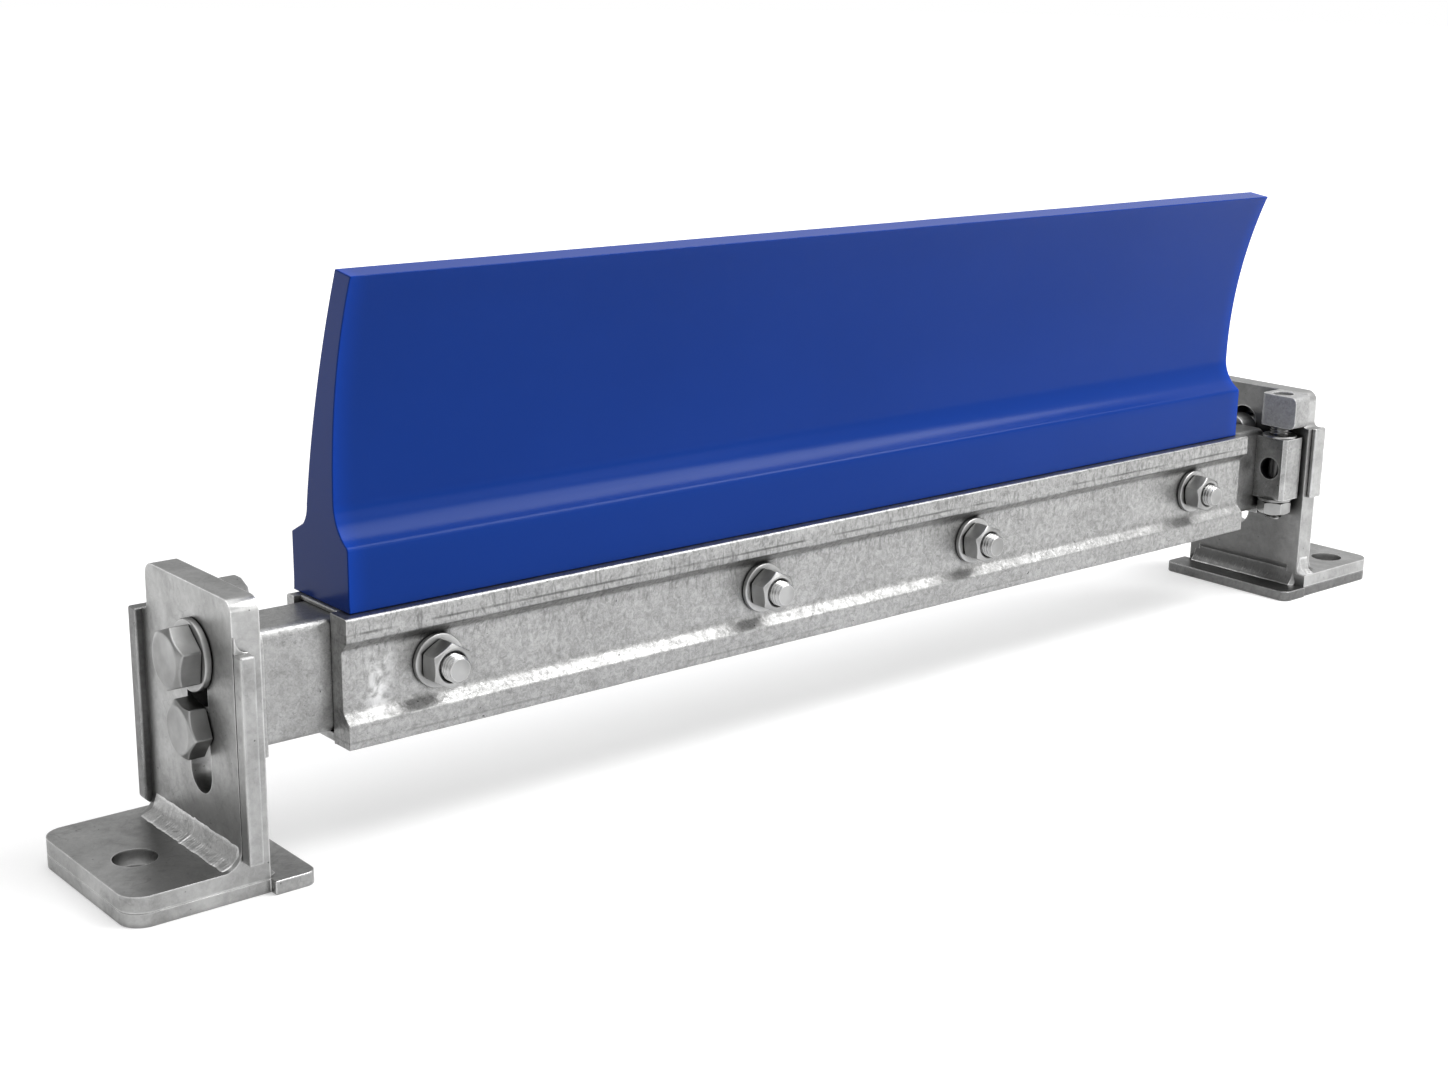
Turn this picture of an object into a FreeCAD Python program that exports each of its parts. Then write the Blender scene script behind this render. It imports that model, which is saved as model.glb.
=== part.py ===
import FreeCAD, Part
import math
import os
import Sketcher

# Conveyor belt scraper: a urethane blade on a clamped crossbeam between two angle brackets.
# X runs along the blade, -Y is the front with the clamp nuts, Z is up and the floor is z = 0.
# Every end piece is drawn at the right-hand end, and the left-hand end is the same set turned
# half round Z. Two things differ: the right-hand foot reaches further and has its hole near the
# front, and only the right-hand end has the screw that sets the height. The left-hand end has a
# stop lug in its place.

doc = FreeCAD.newDocument("belt_scraper")

SIZES = [
    # crossbeam, a rectangular tube
    ("tube_height", 50.0),
    ("tube_depth", 30.0),
    ("tube_wall", 3.0),
    ("tube_corner", 4.0),
    ("tube_drop", 23.0),
    # blade holder clamped round the beam
    ("holder_end_margin", 5.0),
    ("front_bar_thick", 13.0),
    ("bar_drop", 5.0),
    ("web_recess", 4.5),
    ("top_lip", 10.5),
    ("bottom_lip", 11.0),
    ("lip_slope", 4.5),
    ("lip_edge_radius", 1.5),
    ("web_root_radius", 3.5),
    ("back_bar_thick", 6.0),
    ("seat_plate_thick", 2.0),
    ("seat_plate_inset", 3.0),
    ("bottom_plate_thick", 4.0),
    # blade profile, heights counted from its seat
    ("blade_length", 590.0),
    ("blade_height", 141.0),
    ("blade_base_height", 26.0),
    ("blade_base_front", 22.5),
    ("blade_base_back", 24.0),
    ("blade_base_round", 2.0),
    ("blade_ledge_radius", 3.0),
    ("blade_neck_front", 12.0),
    ("blade_neck_front_level", 45.0),
    ("blade_root_radius", 19.0),
    ("blade_neck_back", 10.5),
    ("blade_neck_back_level", 40.0),
    ("blade_shoulder_back", 14.5),
    ("blade_shoulder_level", 31.0),
    ("blade_shoulder_radius", 12.0),
    ("blade_tip_front", 31.7),
    ("blade_tip_thick", 12.3),
    ("blade_tip_fall", 1.8),
    ("blade_back_radius", 470.0),
    # clamp bolts through bars and beam
    ("inner_bolt_spacing", 145.0),
    ("outer_bolt_inset", 45.5),
    ("clamp_bolt_size", 12.0),
    ("clamp_bolt_flats", 18.0),
    ("clamp_head_height", 7.5),
    ("clamp_nut_height", 10.8),
    ("clamp_bolt_end", 5.0),
    ("bolt_point", 1.0),
    ("clamp_washer_size", 24.0),
    ("clamp_washer_thick", 2.5),
    ("sleeve_wall", 2.5),
    ("bolt_hole_clearance", 0.5),
    ("thread_clearance", 0.08),
    ("hex_face_share", 0.95),
    # angle brackets and their base plates
    ("bracket_gap", 45.0),
    ("upright_thick", 12.0),
    ("bracket_front", 38.0),
    ("bracket_back", 41.0),
    ("bracket_height", 123.0),
    ("upright_corner", 6.0),
    ("upright_step", 4.5),
    ("upright_step_radius", 3.0),
    ("left_foot_reach", 48.0),
    ("right_foot_reach", 58.0),
    ("foot_front", 44.0),
    ("foot_thick", 7.0),
    ("foot_corner", 10.0),
    ("inside_bend", 8.0),
    ("outside_bend", 12.0),
    ("weld_fill", 7.0),
    ("base_thick", 6.0),
    ("base_reach", 19.0),
    ("base_inner_width", 90.0),
    ("base_corner", 5.0),
    ("anchor_hole", 18.0),
    ("left_hole_out", 28.0),
    ("left_hole_back", 4.0),
    ("right_hole_out", 36.5),
    ("right_hole_back", -26.0),
    ("slot_width", 18.0),
    ("slot_offset", 9.0),
    ("slot_top_margin", 14.0),
    ("slot_lift_room", 7.0),
    ("slot_drop_room", 21.5),
    # guide strips along the edges of the uprights
    ("strip_reach", 6.5),
    ("strip_top_margin", 21.0),
    ("strip_foot_gap", 3.0),
    ("flush_strip_thick", 6.4),
    ("proud_strip_thick", 12.0),
    ("proud_strip_height", 3.5),
    ("proud_strip_chamfer", 2.5),
    # slide block, adjuster and lug
    ("slide_clearance", 0.2),
    ("slide_block_thick", 12.3),
    ("slide_block_round", 11.0),
    ("slide_block_far", 15.0),
    ("slide_block_under", 16.0),
    ("slide_shoulder_drop", 2.0),
    ("slot_bolt_spacing", 30.0),
    ("upper_bolt_size", 16.0),
    ("upper_bolt_flats", 24.0),
    ("upper_head_height", 10.0),
    ("upper_washer_size", 30.0),
    ("upper_washer_thick", 3.0),
    ("lower_bolt_size", 14.0),
    ("lower_bolt_flats", 22.0),
    ("lower_head_height", 9.0),
    ("adjuster_thick", 18.0),
    ("adjuster_depth", 20.4),
    ("adjuster_height", 37.0),
    ("adjuster_lift_room", 5.5),
    ("adjuster_chamfer", 2.0),
    ("window_size", 13.0),
    ("screw_from_face", 10.5),
    ("screw_size", 12.0),
    ("screw_stem_size", 10.0),
    ("screw_top_drop", 1.5),
    ("screw_end", 3.0),
    ("screw_socket", 6.0),
    ("screw_socket_deep", 7.0),
    ("stem_clearance", 0.1),
    ("stem_washer_size", 20.0),
    ("stem_washer_thick", 1.5),
    ("lock_nut_flats", 17.0),
    ("lock_nut_height", 8.4),
    ("lug_depth", 18.5),
    ("lug_front_proud", 2.4),
    ("lug_width", 25.0),
    ("lug_height", 19.0),
    ("lug_round", 4.0),
    ("lug_side_chamfer", 5.0),
    # stop lug on the left-hand upright, counted forward from the middle of the bracket
    ("stop_depth", 7.8),
    ("stop_back", 6.8),
    ("stop_nose", 12.5),
    ("stop_cheek", 24.5),
    ("stop_cheek_depth", 4.2),
    ("stop_front", 34.0),
    ("stop_lift_room", 5.5),
]

sheet = doc.addObject("Spreadsheet::Sheet", "Dims")
for row, (alias, value) in enumerate(SIZES, start=1):
    sheet.set("A%d" % row, alias)
    sheet.set("B%d" % row, str(value))
    sheet.setAlias("B%d" % row, alias)
doc.recompute()


def size(alias):
    """The value of one cell of the sheet, in millimetres."""
    return float(sheet.get(alias))


# Places that several pieces share, as expressions on the sheet. Lengths build up from the blade
# outwards, and heights hang from the top of the brackets.
HOLDER_HALF = "(Dims.blade_length / 2 + Dims.holder_end_margin)"
TUBE_TOP = "(Dims.bracket_height - Dims.tube_drop)"
TUBE_LOW = "(Dims.bracket_height - Dims.tube_drop - Dims.tube_height)"
TUBE_MIDDLE = "(Dims.bracket_height - Dims.tube_drop - Dims.tube_height / 2)"
BAR_LOW = "(Dims.bracket_height - Dims.tube_drop - Dims.tube_height - Dims.bar_drop)"
SEAT = "(Dims.bracket_height - Dims.tube_drop + Dims.seat_plate_thick)"
TUBE_FRONT = "(-Dims.tube_depth / 2)"
TUBE_BACK = "(Dims.tube_depth / 2)"
FRONT_PLANE = "(-Dims.tube_depth / 2 - Dims.front_bar_thick)"
WEB_PLANE = "(-Dims.tube_depth / 2 - Dims.front_bar_thick + Dims.web_recess)"
BACK_PLANE = "(Dims.tube_depth / 2 + Dims.back_bar_thick)"
INNER_FACE = "(%s + Dims.bracket_gap)" % HOLDER_HALF
OUTER_FACE = "(%s + Dims.upright_thick)" % INNER_FACE
FOOT_TOP = "(Dims.base_thick + Dims.foot_thick)"
FOOT_FRONT = "(-Dims.foot_front)"
UPRIGHT_FRONT = "(-Dims.bracket_front)"
UPRIGHT_BACK = "(Dims.bracket_back)"
SLIDE_OUTER = "(%s - Dims.slide_clearance)" % INNER_FACE
TUBE_END = "(%s - Dims.slide_block_thick)" % SLIDE_OUTER
SLIDE_FRONT = "(-Dims.slide_block_far)"
SLOT_HIGH = "(Dims.bracket_height - Dims.slot_top_margin)"
UPPER_BOLT = "(%s - Dims.slot_lift_room - Dims.upper_bolt_size / 2)" % SLOT_HIGH
LOWER_BOLT = "(%s - Dims.slot_bolt_spacing)" % UPPER_BOLT
SLOT_LOW = "(%s - Dims.lower_bolt_size / 2 - Dims.slot_drop_room)" % LOWER_BOLT
STRIP_LOW = "(%s + Dims.strip_foot_gap)" % FOOT_TOP
STRIP_TOP = "(Dims.bracket_height - Dims.strip_top_margin)"
LUG_LOW = "(Dims.bracket_height - Dims.lug_height)"
ADJUSTER_TOP = "(%s - Dims.adjuster_lift_room - Dims.stem_washer_thick)" % LUG_LOW
ADJUSTER_LOW = "(%s - Dims.adjuster_height)" % ADJUSTER_TOP
SCREW_X = "(%s - Dims.screw_from_face)" % INNER_FACE
SCREW_Y = "(-Dims.slide_block_far - Dims.adjuster_depth / 2)"
LUG_FRONT = "(-Dims.bracket_front - Dims.lug_front_proud)"


# Part primitives with every size and place bound to the sheet
def place(solid, x, y, z):
    solid.setExpression(".Placement.Base.x", x)
    solid.setExpression(".Placement.Base.y", y)
    solid.setExpression(".Placement.Base.z", z)


def box(name, x, y, z, length, width, height):
    """A box from its low corner."""
    solid = doc.addObject("Part::Box", name)
    solid.setExpression("Length", length)
    solid.setExpression("Width", width)
    solid.setExpression("Height", height)
    place(solid, x, y, z)
    return solid


TURN = {
    "X": FreeCAD.Rotation(FreeCAD.Vector(0, 1, 0), 90),
    "Y": FreeCAD.Rotation(FreeCAD.Vector(1, 0, 0), -90),
    "-Y": FreeCAD.Rotation(FreeCAD.Vector(1, 0, 0), 90),
    "Z": FreeCAD.Rotation(),
    "-Z": FreeCAD.Rotation(FreeCAD.Vector(1, 0, 0), 180),
}


def cylinder(name, along, x, y, z, diameter, height):
    """A cylinder that starts at x, y, z and runs along the named direction."""
    solid = doc.addObject("Part::Cylinder", name)
    solid.Placement.Rotation = TURN[along]
    solid.setExpression("Radius", "(%s) / 2" % diameter)
    solid.setExpression("Height", height)
    place(solid, x, y, z)
    return solid


def cone(name, along, x, y, z, first, second, height):
    """A cone with its first and second diameter, from x, y, z along the named direction."""
    solid = doc.addObject("Part::Cone", name)
    solid.Placement.Rotation = TURN[along]
    solid.setExpression("Radius1", "(%s) / 2" % first)
    solid.setExpression("Radius2", "(%s) / 2" % second)
    solid.setExpression("Height", height)
    place(solid, x, y, z)
    return solid


def hexagon(name, along, x, y, z, flats, height, twist=0.0):
    """A hexagonal prism by its width across flats, twisted by some degrees round its own axis."""
    solid = doc.addObject("Part::Prism", name)
    solid.Polygon = 6
    own_turn = FreeCAD.Rotation(FreeCAD.Vector(0, 0, 1), twist)
    solid.Placement.Rotation = TURN[along].multiply(own_turn)
    solid.setExpression("Circumradius", "(%s) / 2 / cos(30 deg)" % flats)
    solid.setExpression("Height", height)
    place(solid, x, y, z)
    return solid


def cut(name, base, tool):
    """The base with the tool's volume taken away."""
    result = doc.addObject("Part::Cut", name)
    result.Base = base
    result.Tool = tool
    return result


def fuse(name, *solids):
    """Several solids joined to one."""
    result = doc.addObject("Part::MultiFuse", name)
    result.Shapes = list(solids)
    return result


def common(name, base, tool):
    """The volume that both solids share."""
    result = doc.addObject("Part::Common", name)
    result.Base = base
    result.Tool = tool
    return result


def group(name, solids):
    """Solids kept side by side as one piece of the part."""
    result = doc.addObject("Part::Compound", name)
    result.Links = list(solids)
    return result


# PartDesign bodies with sketches bound to the sheet. A curve is first drawn at these sizes, and
# its constraints then pull it into place.
FIRST_OUTLINE_RADIUS = 50.0
FIRST_CIRCLE_RADIUS = 5.0
SAME_PLACE = 0.01


def origin_plane(body, role):
    """One of the three base planes of a body."""
    for feature in body.Origin.OriginFeatures:
        if feature.Role == role:
            return feature
    raise RuntimeError("no plane " + role)


def new_sketch(body, name, role, offset=None):
    """A sketch on one of the body's own planes, moved along the plane's normal by an expression."""
    sketch = body.newObject("Sketcher::SketchObject", name)
    sketch.AttachmentSupport = [(origin_plane(body, role), "")]
    sketch.MapMode = "FlatFace"
    if offset is not None:
        sketch.setExpression(".AttachmentOffset.Base.z", offset)
    return sketch


def bind_point(sketch, curve, end, across, up, first_across=1.0, first_up=1.0):
    """Fix one end of a curve at a place given by two expressions."""
    for kind, expression, first in (("DistanceX", across, first_across), ("DistanceY", up, first_up)):
        index = sketch.addConstraint(Sketcher.Constraint(kind, -1, 1, curve, end, first))
        sketch.setExpression("Constraints[%d]" % index, expression)


def closed_outline(sketch, corners):
    """Straight lines through corners, each corner two expressions."""
    count = len(corners)
    turn = 2 * math.pi / count
    spread = [FreeCAD.Vector(math.cos(turn * k), math.sin(turn * k), 0) * FIRST_OUTLINE_RADIUS
              for k in range(count)]
    for k in range(count):
        sketch.addGeometry(Part.LineSegment(spread[k], spread[(k + 1) % count]), False)
    for k in range(count):
        sketch.addConstraint(Sketcher.Constraint("Coincident", k, 2, (k + 1) % count, 1))
    for k in range(count):
        bind_point(sketch, k, 1, *corners[k])


def circle(sketch, across, up, diameter):
    """A circle with its centre and diameter as expressions."""
    first = Part.Circle(FreeCAD.Vector(1, 1, 0), FreeCAD.Vector(0, 0, 1), FIRST_CIRCLE_RADIUS)
    index = sketch.addGeometry(first, False)
    bind_point(sketch, index, 3, across, up)
    radius = sketch.addConstraint(Sketcher.Constraint("Radius", index, FIRST_CIRCLE_RADIUS))
    sketch.setExpression("Constraints[%d]" % radius, "(%s) / 2" % diameter)


def pad(body, name, sketch, length, middle=False, back=False):
    """The sketch as a solid: from its plane, or from its middle, or against the plane's normal."""
    feature = body.newObject("PartDesign::Pad", name)
    feature.Profile = sketch
    feature.setExpression("Length", length)
    feature.SideType = "Symmetric" if middle else "One side"
    feature.Reversed = back
    return feature


def pocket_through(body, name, sketch):
    """A hole through everything on both sides of the sketch."""
    feature = body.newObject("PartDesign::Pocket", name)
    feature.Profile = sketch
    feature.Type = "ThroughAll"
    feature.SideType = "Symmetric"
    return feature


def edges_where(feature, test):
    """Names of the feature's edges whose two ends pass a test."""
    found = []
    for number, edge in enumerate(feature.Shape.Edges, start=1):
        ends = [vertex.Point for vertex in edge.Vertexes]
        if len(ends) == 2 and test(ends[0], ends[1]):
            found.append("Edge%d" % number)
    return found


def round_edges(body, name, feature, radius, test, kind="PartDesign::Fillet"):
    """A fillet, or a chamfer, along the edges that pass a test."""
    doc.recompute()
    result = body.newObject(kind, name)
    result.Base = (feature, edges_where(feature, test))
    result.setExpression("Radius" if kind == "PartDesign::Fillet" else "Size", radius)
    return result


def near(first, second):
    """Whether two places along one axis are the same."""
    return abs(first - second) < SAME_PLACE


# Some of the shared places as numbers, to find the edges that are rounded.
tube_top = size("bracket_height") - size("tube_drop")
tube_low = tube_top - size("tube_height")
seat_level = tube_top + size("seat_plate_thick")
foot_top = size("base_thick") + size("foot_thick")
inner_face = size("blade_length") / 2 + size("holder_end_margin") + size("bracket_gap")
outer_face = inner_face + size("upright_thick")
upright_front = -size("bracket_front")

# the pieces of the part, each with the label that names its file
finished = []

HALF_TURN = FreeCAD.Rotation(FreeCAD.Vector(0, 0, 1), 180)
# The pieces are drawn round the middle of the blade. The origin of the finished part is the middle
# of its whole length, which the longer foot moves to the right.
WHOLE_MIDDLE = "((Dims.right_foot_reach - Dims.left_foot_reach) / 2)"


def deliver(label, solid):
    """Keep a finished piece under its name, at its place from the middle of the whole length."""
    placed = group(label + "_placed", [solid])
    placed.setExpression(".Placement.Base.x", "-" + WHOLE_MIDDLE)
    placed.Label = label
    finished.append(placed)


def turned(name, solid):
    """A copy of a right-hand piece, turned half round Z to the left-hand end."""
    copy = group(name + "_turned", [solid])
    copy.Placement.Rotation = HALF_TURN
    return copy


def deliver_end(side, name, solid):
    """Keep an end piece of one side; a left-hand piece is turned into its place."""
    label = "%s_%s" % (side, name)
    deliver(label, turned(label, solid) if side == "left" else solid)


def deliver_turned(right_name, left_name, solid):
    """Keep a right-hand piece and its turned copy, which may have a name of its own."""
    deliver(right_name, solid)
    deliver(left_name, turned(left_name, solid))


def arc_between(start, end, radius, bulge_left):
    """An arc from start to end; bulge_left puts it on the left of the way from start to end."""
    half = (end - start) * 0.5
    height = math.sqrt(radius * radius - half.Length ** 2)
    across = FreeCAD.Vector(-half.y, half.x, 0).normalize()
    side = 1 if bulge_left else -1
    centre = start + half - across * height * side
    return Part.Arc(start, centre + across * radius * side, end)


def end_number(sketch, curve, point):
    """1 or 2: the end of a curve that lies at a point."""
    first = sketch.getPoint(curve, 1)
    return 1 if (first - point).Length < (sketch.getPoint(curve, 2) - point).Length else 2


def make_blade():
    """One moulded urethane profile along X: base block, root fillets, neck and a tip that leans forward."""
    face_rise = "(Dims.blade_height - Dims.blade_tip_fall - Dims.blade_neck_front_level)"
    face_lean = "(Dims.blade_tip_front - Dims.blade_neck_front)"
    rise = size("blade_height") - size("blade_tip_fall") - size("blade_neck_front_level")
    lean = size("blade_tip_front") - size("blade_neck_front")
    base_round = size("blade_base_round")
    # corners as numbers for the first drawing, then as expressions: across and height over the seat
    corners = [
        (-size("blade_base_front"), 0.0,
         "-Dims.blade_base_front", "0"),
        (size("blade_base_back"), 0.0,
         "Dims.blade_base_back", "0"),
        (size("blade_base_back"), size("blade_base_height"),
         "Dims.blade_base_back", "Dims.blade_base_height"),
        (size("blade_shoulder_back"), size("blade_shoulder_level"),
         "Dims.blade_shoulder_back", "Dims.blade_shoulder_level"),
        (size("blade_neck_back"), size("blade_neck_back_level"),
         "Dims.blade_neck_back", "Dims.blade_neck_back_level"),
        (size("blade_tip_thick") - size("blade_tip_front"), size("blade_height"),
         "Dims.blade_tip_thick - Dims.blade_tip_front", "Dims.blade_height"),
        (-size("blade_tip_front"), size("blade_height") - size("blade_tip_fall"),
         "-Dims.blade_tip_front", "Dims.blade_height - Dims.blade_tip_fall"),
        (-size("blade_neck_front"), size("blade_neck_front_level"),
         "-Dims.blade_neck_front", "Dims.blade_neck_front_level"),
        (base_round / 2 - size("blade_base_front"), size("blade_base_height") + base_round,
         "Dims.blade_base_round / 2 - Dims.blade_base_front",
         "Dims.blade_base_height + Dims.blade_base_round"),
        (-size("blade_base_front"), size("blade_base_height"),
         "-Dims.blade_base_front", "Dims.blade_base_height"),
    ]
    # curves by the corner they start from: radius, its expression and the side it bulges to
    curves = {
        3: (size("blade_shoulder_radius"), "Dims.blade_shoulder_radius", True),
        4: (size("blade_back_radius"), "Dims.blade_back_radius", False),
        6: ((rise ** 2 + lean ** 2) / (2 * lean),
            "(%s ^ 2 + %s ^ 2) / (2 * %s)" % (face_rise, face_lean, face_lean), True),
        7: (size("blade_root_radius"), "Dims.blade_root_radius", True),
        8: (size("blade_ledge_radius"), "Dims.blade_ledge_radius", False),
    }
    body = doc.addObject("PartDesign::Body", "blade_body")
    sketch = new_sketch(body, "blade_profile", "YZ_Plane")
    points = [FreeCAD.Vector(across, seat_level + level, 0) for across, level, _, _ in corners]
    count = len(points)
    for k in range(count):
        start = points[k]
        end = points[(k + 1) % count]
        if k in curves:
            radius, _, bulge_left = curves[k]
            sketch.addGeometry(arc_between(start, end, radius, bulge_left), False)
        else:
            sketch.addGeometry(Part.LineSegment(start, end), False)
    for k in range(count):
        before = (k - 1) % count
        here = end_number(sketch, k, points[k])
        there = end_number(sketch, before, points[k])
        sketch.addConstraint(Sketcher.Constraint("Coincident", before, there, k, here))
        first_across, _, across, height = corners[k]
        bind_point(sketch, k, here, across, "%s + %s" % (SEAT, height), first_across, points[k].y)
        if k in curves:
            index = sketch.addConstraint(Sketcher.Constraint("Radius", k, curves[k][0]))
            sketch.setExpression("Constraints[%d]" % index, curves[k][1])
    pad(body, "blade_pad", sketch, "Dims.blade_length", middle=True)
    deliver("blade", body)


BOLT_PLACES = [
    "(Dims.outer_bolt_inset - %s)" % HOLDER_HALF,
    "(-Dims.inner_bolt_spacing / 2)",
    "(Dims.inner_bolt_spacing / 2)",
    "(%s - Dims.outer_bolt_inset)" % HOLDER_HALF,
]
BOLT_HOLE = "(Dims.clamp_bolt_size + 2 * Dims.bolt_hole_clearance)"


def bolt_holes(body, name):
    """The row of clamp bolt holes through a body, front to back."""
    sketch = new_sketch(body, name + "_holes", "XZ_Plane")
    for place_x in BOLT_PLACES:
        circle(sketch, place_x, TUBE_MIDDLE, BOLT_HOLE)
    return pocket_through(body, name + "_bolt_holes", sketch)


def along_x(first, last):
    """Whether an edge with these two ends runs along X."""
    return near(first.y, last.y) and near(first.z, last.z)


def along_z(first, last):
    """Whether an edge with these two ends runs along Z."""
    return near(first.x, last.x) and near(first.y, last.y)


def make_tube():
    """The rectangular tube that carries the holder, with its corners rounded inside and out."""
    body = doc.addObject("PartDesign::Body", "tube_body")
    outside = new_sketch(body, "tube_outside", "YZ_Plane")
    closed_outline(outside, [(TUBE_FRONT, TUBE_LOW), (TUBE_BACK, TUBE_LOW),
                             (TUBE_BACK, TUBE_TOP), (TUBE_FRONT, TUBE_TOP)])
    pad(body, "tube_pad", outside, "2 * " + TUBE_END, middle=True)
    inside = new_sketch(body, "tube_inside", "YZ_Plane")
    front = TUBE_FRONT + " + Dims.tube_wall"
    back = TUBE_BACK + " - Dims.tube_wall"
    low = TUBE_LOW + " + Dims.tube_wall"
    high = TUBE_TOP + " - Dims.tube_wall"
    closed_outline(inside, [(front, low), (back, low), (back, high), (front, high)])
    hollow = pocket_through(body, "tube_hollow", inside)
    edge_y = size("tube_depth") / 2
    rounded = round_edges(body, "tube_corners", hollow, "Dims.tube_corner",
                          lambda a, b: along_x(a, b) and near(abs(a.y), edge_y))
    inner_y = edge_y - size("tube_wall")
    round_edges(body, "tube_inner_corners", rounded, "Dims.tube_corner - Dims.tube_wall",
                lambda a, b: along_x(a, b) and near(abs(a.y), inner_y)
                and (near(a.z, tube_low + size("tube_wall")) or near(a.z, tube_top - size("tube_wall"))))
    bolt_holes(body, "tube")
    deliver("crossbeam_tube", body)


def make_front_bar():
    """A rolled bar with a shallow channel between a thick top lip and a thick bottom lip."""
    body = doc.addObject("PartDesign::Body", "front_bar_body")
    sketch = new_sketch(body, "front_bar_section", "YZ_Plane")
    low_edge = BAR_LOW + " + Dims.bottom_lip"
    high_edge = SEAT + " - Dims.top_lip"
    closed_outline(sketch, [
        (TUBE_FRONT, BAR_LOW), (TUBE_FRONT, SEAT), (FRONT_PLANE, SEAT), (FRONT_PLANE, high_edge),
        (WEB_PLANE, high_edge + " - Dims.lip_slope"), (WEB_PLANE, low_edge + " + Dims.lip_slope"),
        (FRONT_PLANE, low_edge), (FRONT_PLANE, BAR_LOW)])
    rolled = pad(body, "front_bar_pad", sketch, "2 * " + HOLDER_HALF, middle=True)
    front = -size("tube_depth") / 2 - size("front_bar_thick")
    web = front + size("web_recess")
    soft = round_edges(body, "front_bar_lips", rolled, "Dims.lip_edge_radius",
                       lambda a, b: along_x(a, b) and near(a.y, front))
    round_edges(body, "front_bar_roots", soft, "Dims.web_root_radius",
                lambda a, b: along_x(a, b) and near(a.y, web))
    bolt_holes(body, "front_bar")
    deliver("front_clamp_bar", body)


def make_back_bar():
    """The flat bar behind the beam."""
    body = doc.addObject("PartDesign::Body", "back_bar_body")
    sketch = new_sketch(body, "back_bar_section", "YZ_Plane")
    closed_outline(sketch, [(TUBE_BACK, BAR_LOW), (BACK_PLANE, BAR_LOW),
                            (BACK_PLANE, SEAT), (TUBE_BACK, SEAT)])
    flat = pad(body, "back_bar_pad", sketch, "2 * " + HOLDER_HALF, middle=True)
    outer = size("tube_depth") / 2 + size("back_bar_thick")
    round_edges(body, "back_bar_edges", flat, "Dims.lip_edge_radius",
                lambda a, b: along_x(a, b) and near(a.y, outer))
    bolt_holes(body, "back_bar")
    deliver("back_clamp_bar", body)


def make_holder_plates():
    """The plate under the blade's base and the strip under the tube."""
    seat_half = "(%s - Dims.seat_plate_inset)" % HOLDER_HALF
    seat = box("seat_box", "-" + seat_half, TUBE_FRONT, TUBE_TOP,
               "2 * " + seat_half, "Dims.tube_depth", "Dims.seat_plate_thick")
    deliver("blade_seat_plate", seat)
    bottom = box("bottom_box", "-" + HOLDER_HALF, TUBE_FRONT, TUBE_LOW + " - Dims.bottom_plate_thick",
                 "2 * " + HOLDER_HALF, "Dims.tube_depth", "Dims.bottom_plate_thick")
    deliver("bottom_plate", bottom)


def hex_solid(name, along, x, y, z, flats, height, twist=0.0):
    """A bolt head or a nut: a hexagon whose far corners are turned off by a cone at 30 degrees."""
    prism = hexagon(name + "_hexagon", along, x, y, z, flats, height, twist)
    face = "(%s) * Dims.hex_face_share" % flats
    wide = "%s + 2 * (%s) / tan(30 deg)" % (face, height)
    return common(name + "_turned", prism, cone(name + "_cone", along, x, y, z, wide, face, height))


def ring(name, along, x, y, z, outer, inner, height):
    """A washer or a sleeve."""
    return cut(name, cylinder(name + "_outer", along, x, y, z, outer, height),
               cylinder(name + "_inner", along, x, y, z, inner, height))


# how far each nut is screwed round, in degrees, as the four nuts stand from left to right
NUT_TWISTS = (30.0, 37.0, 38.0, 38.0)


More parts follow.
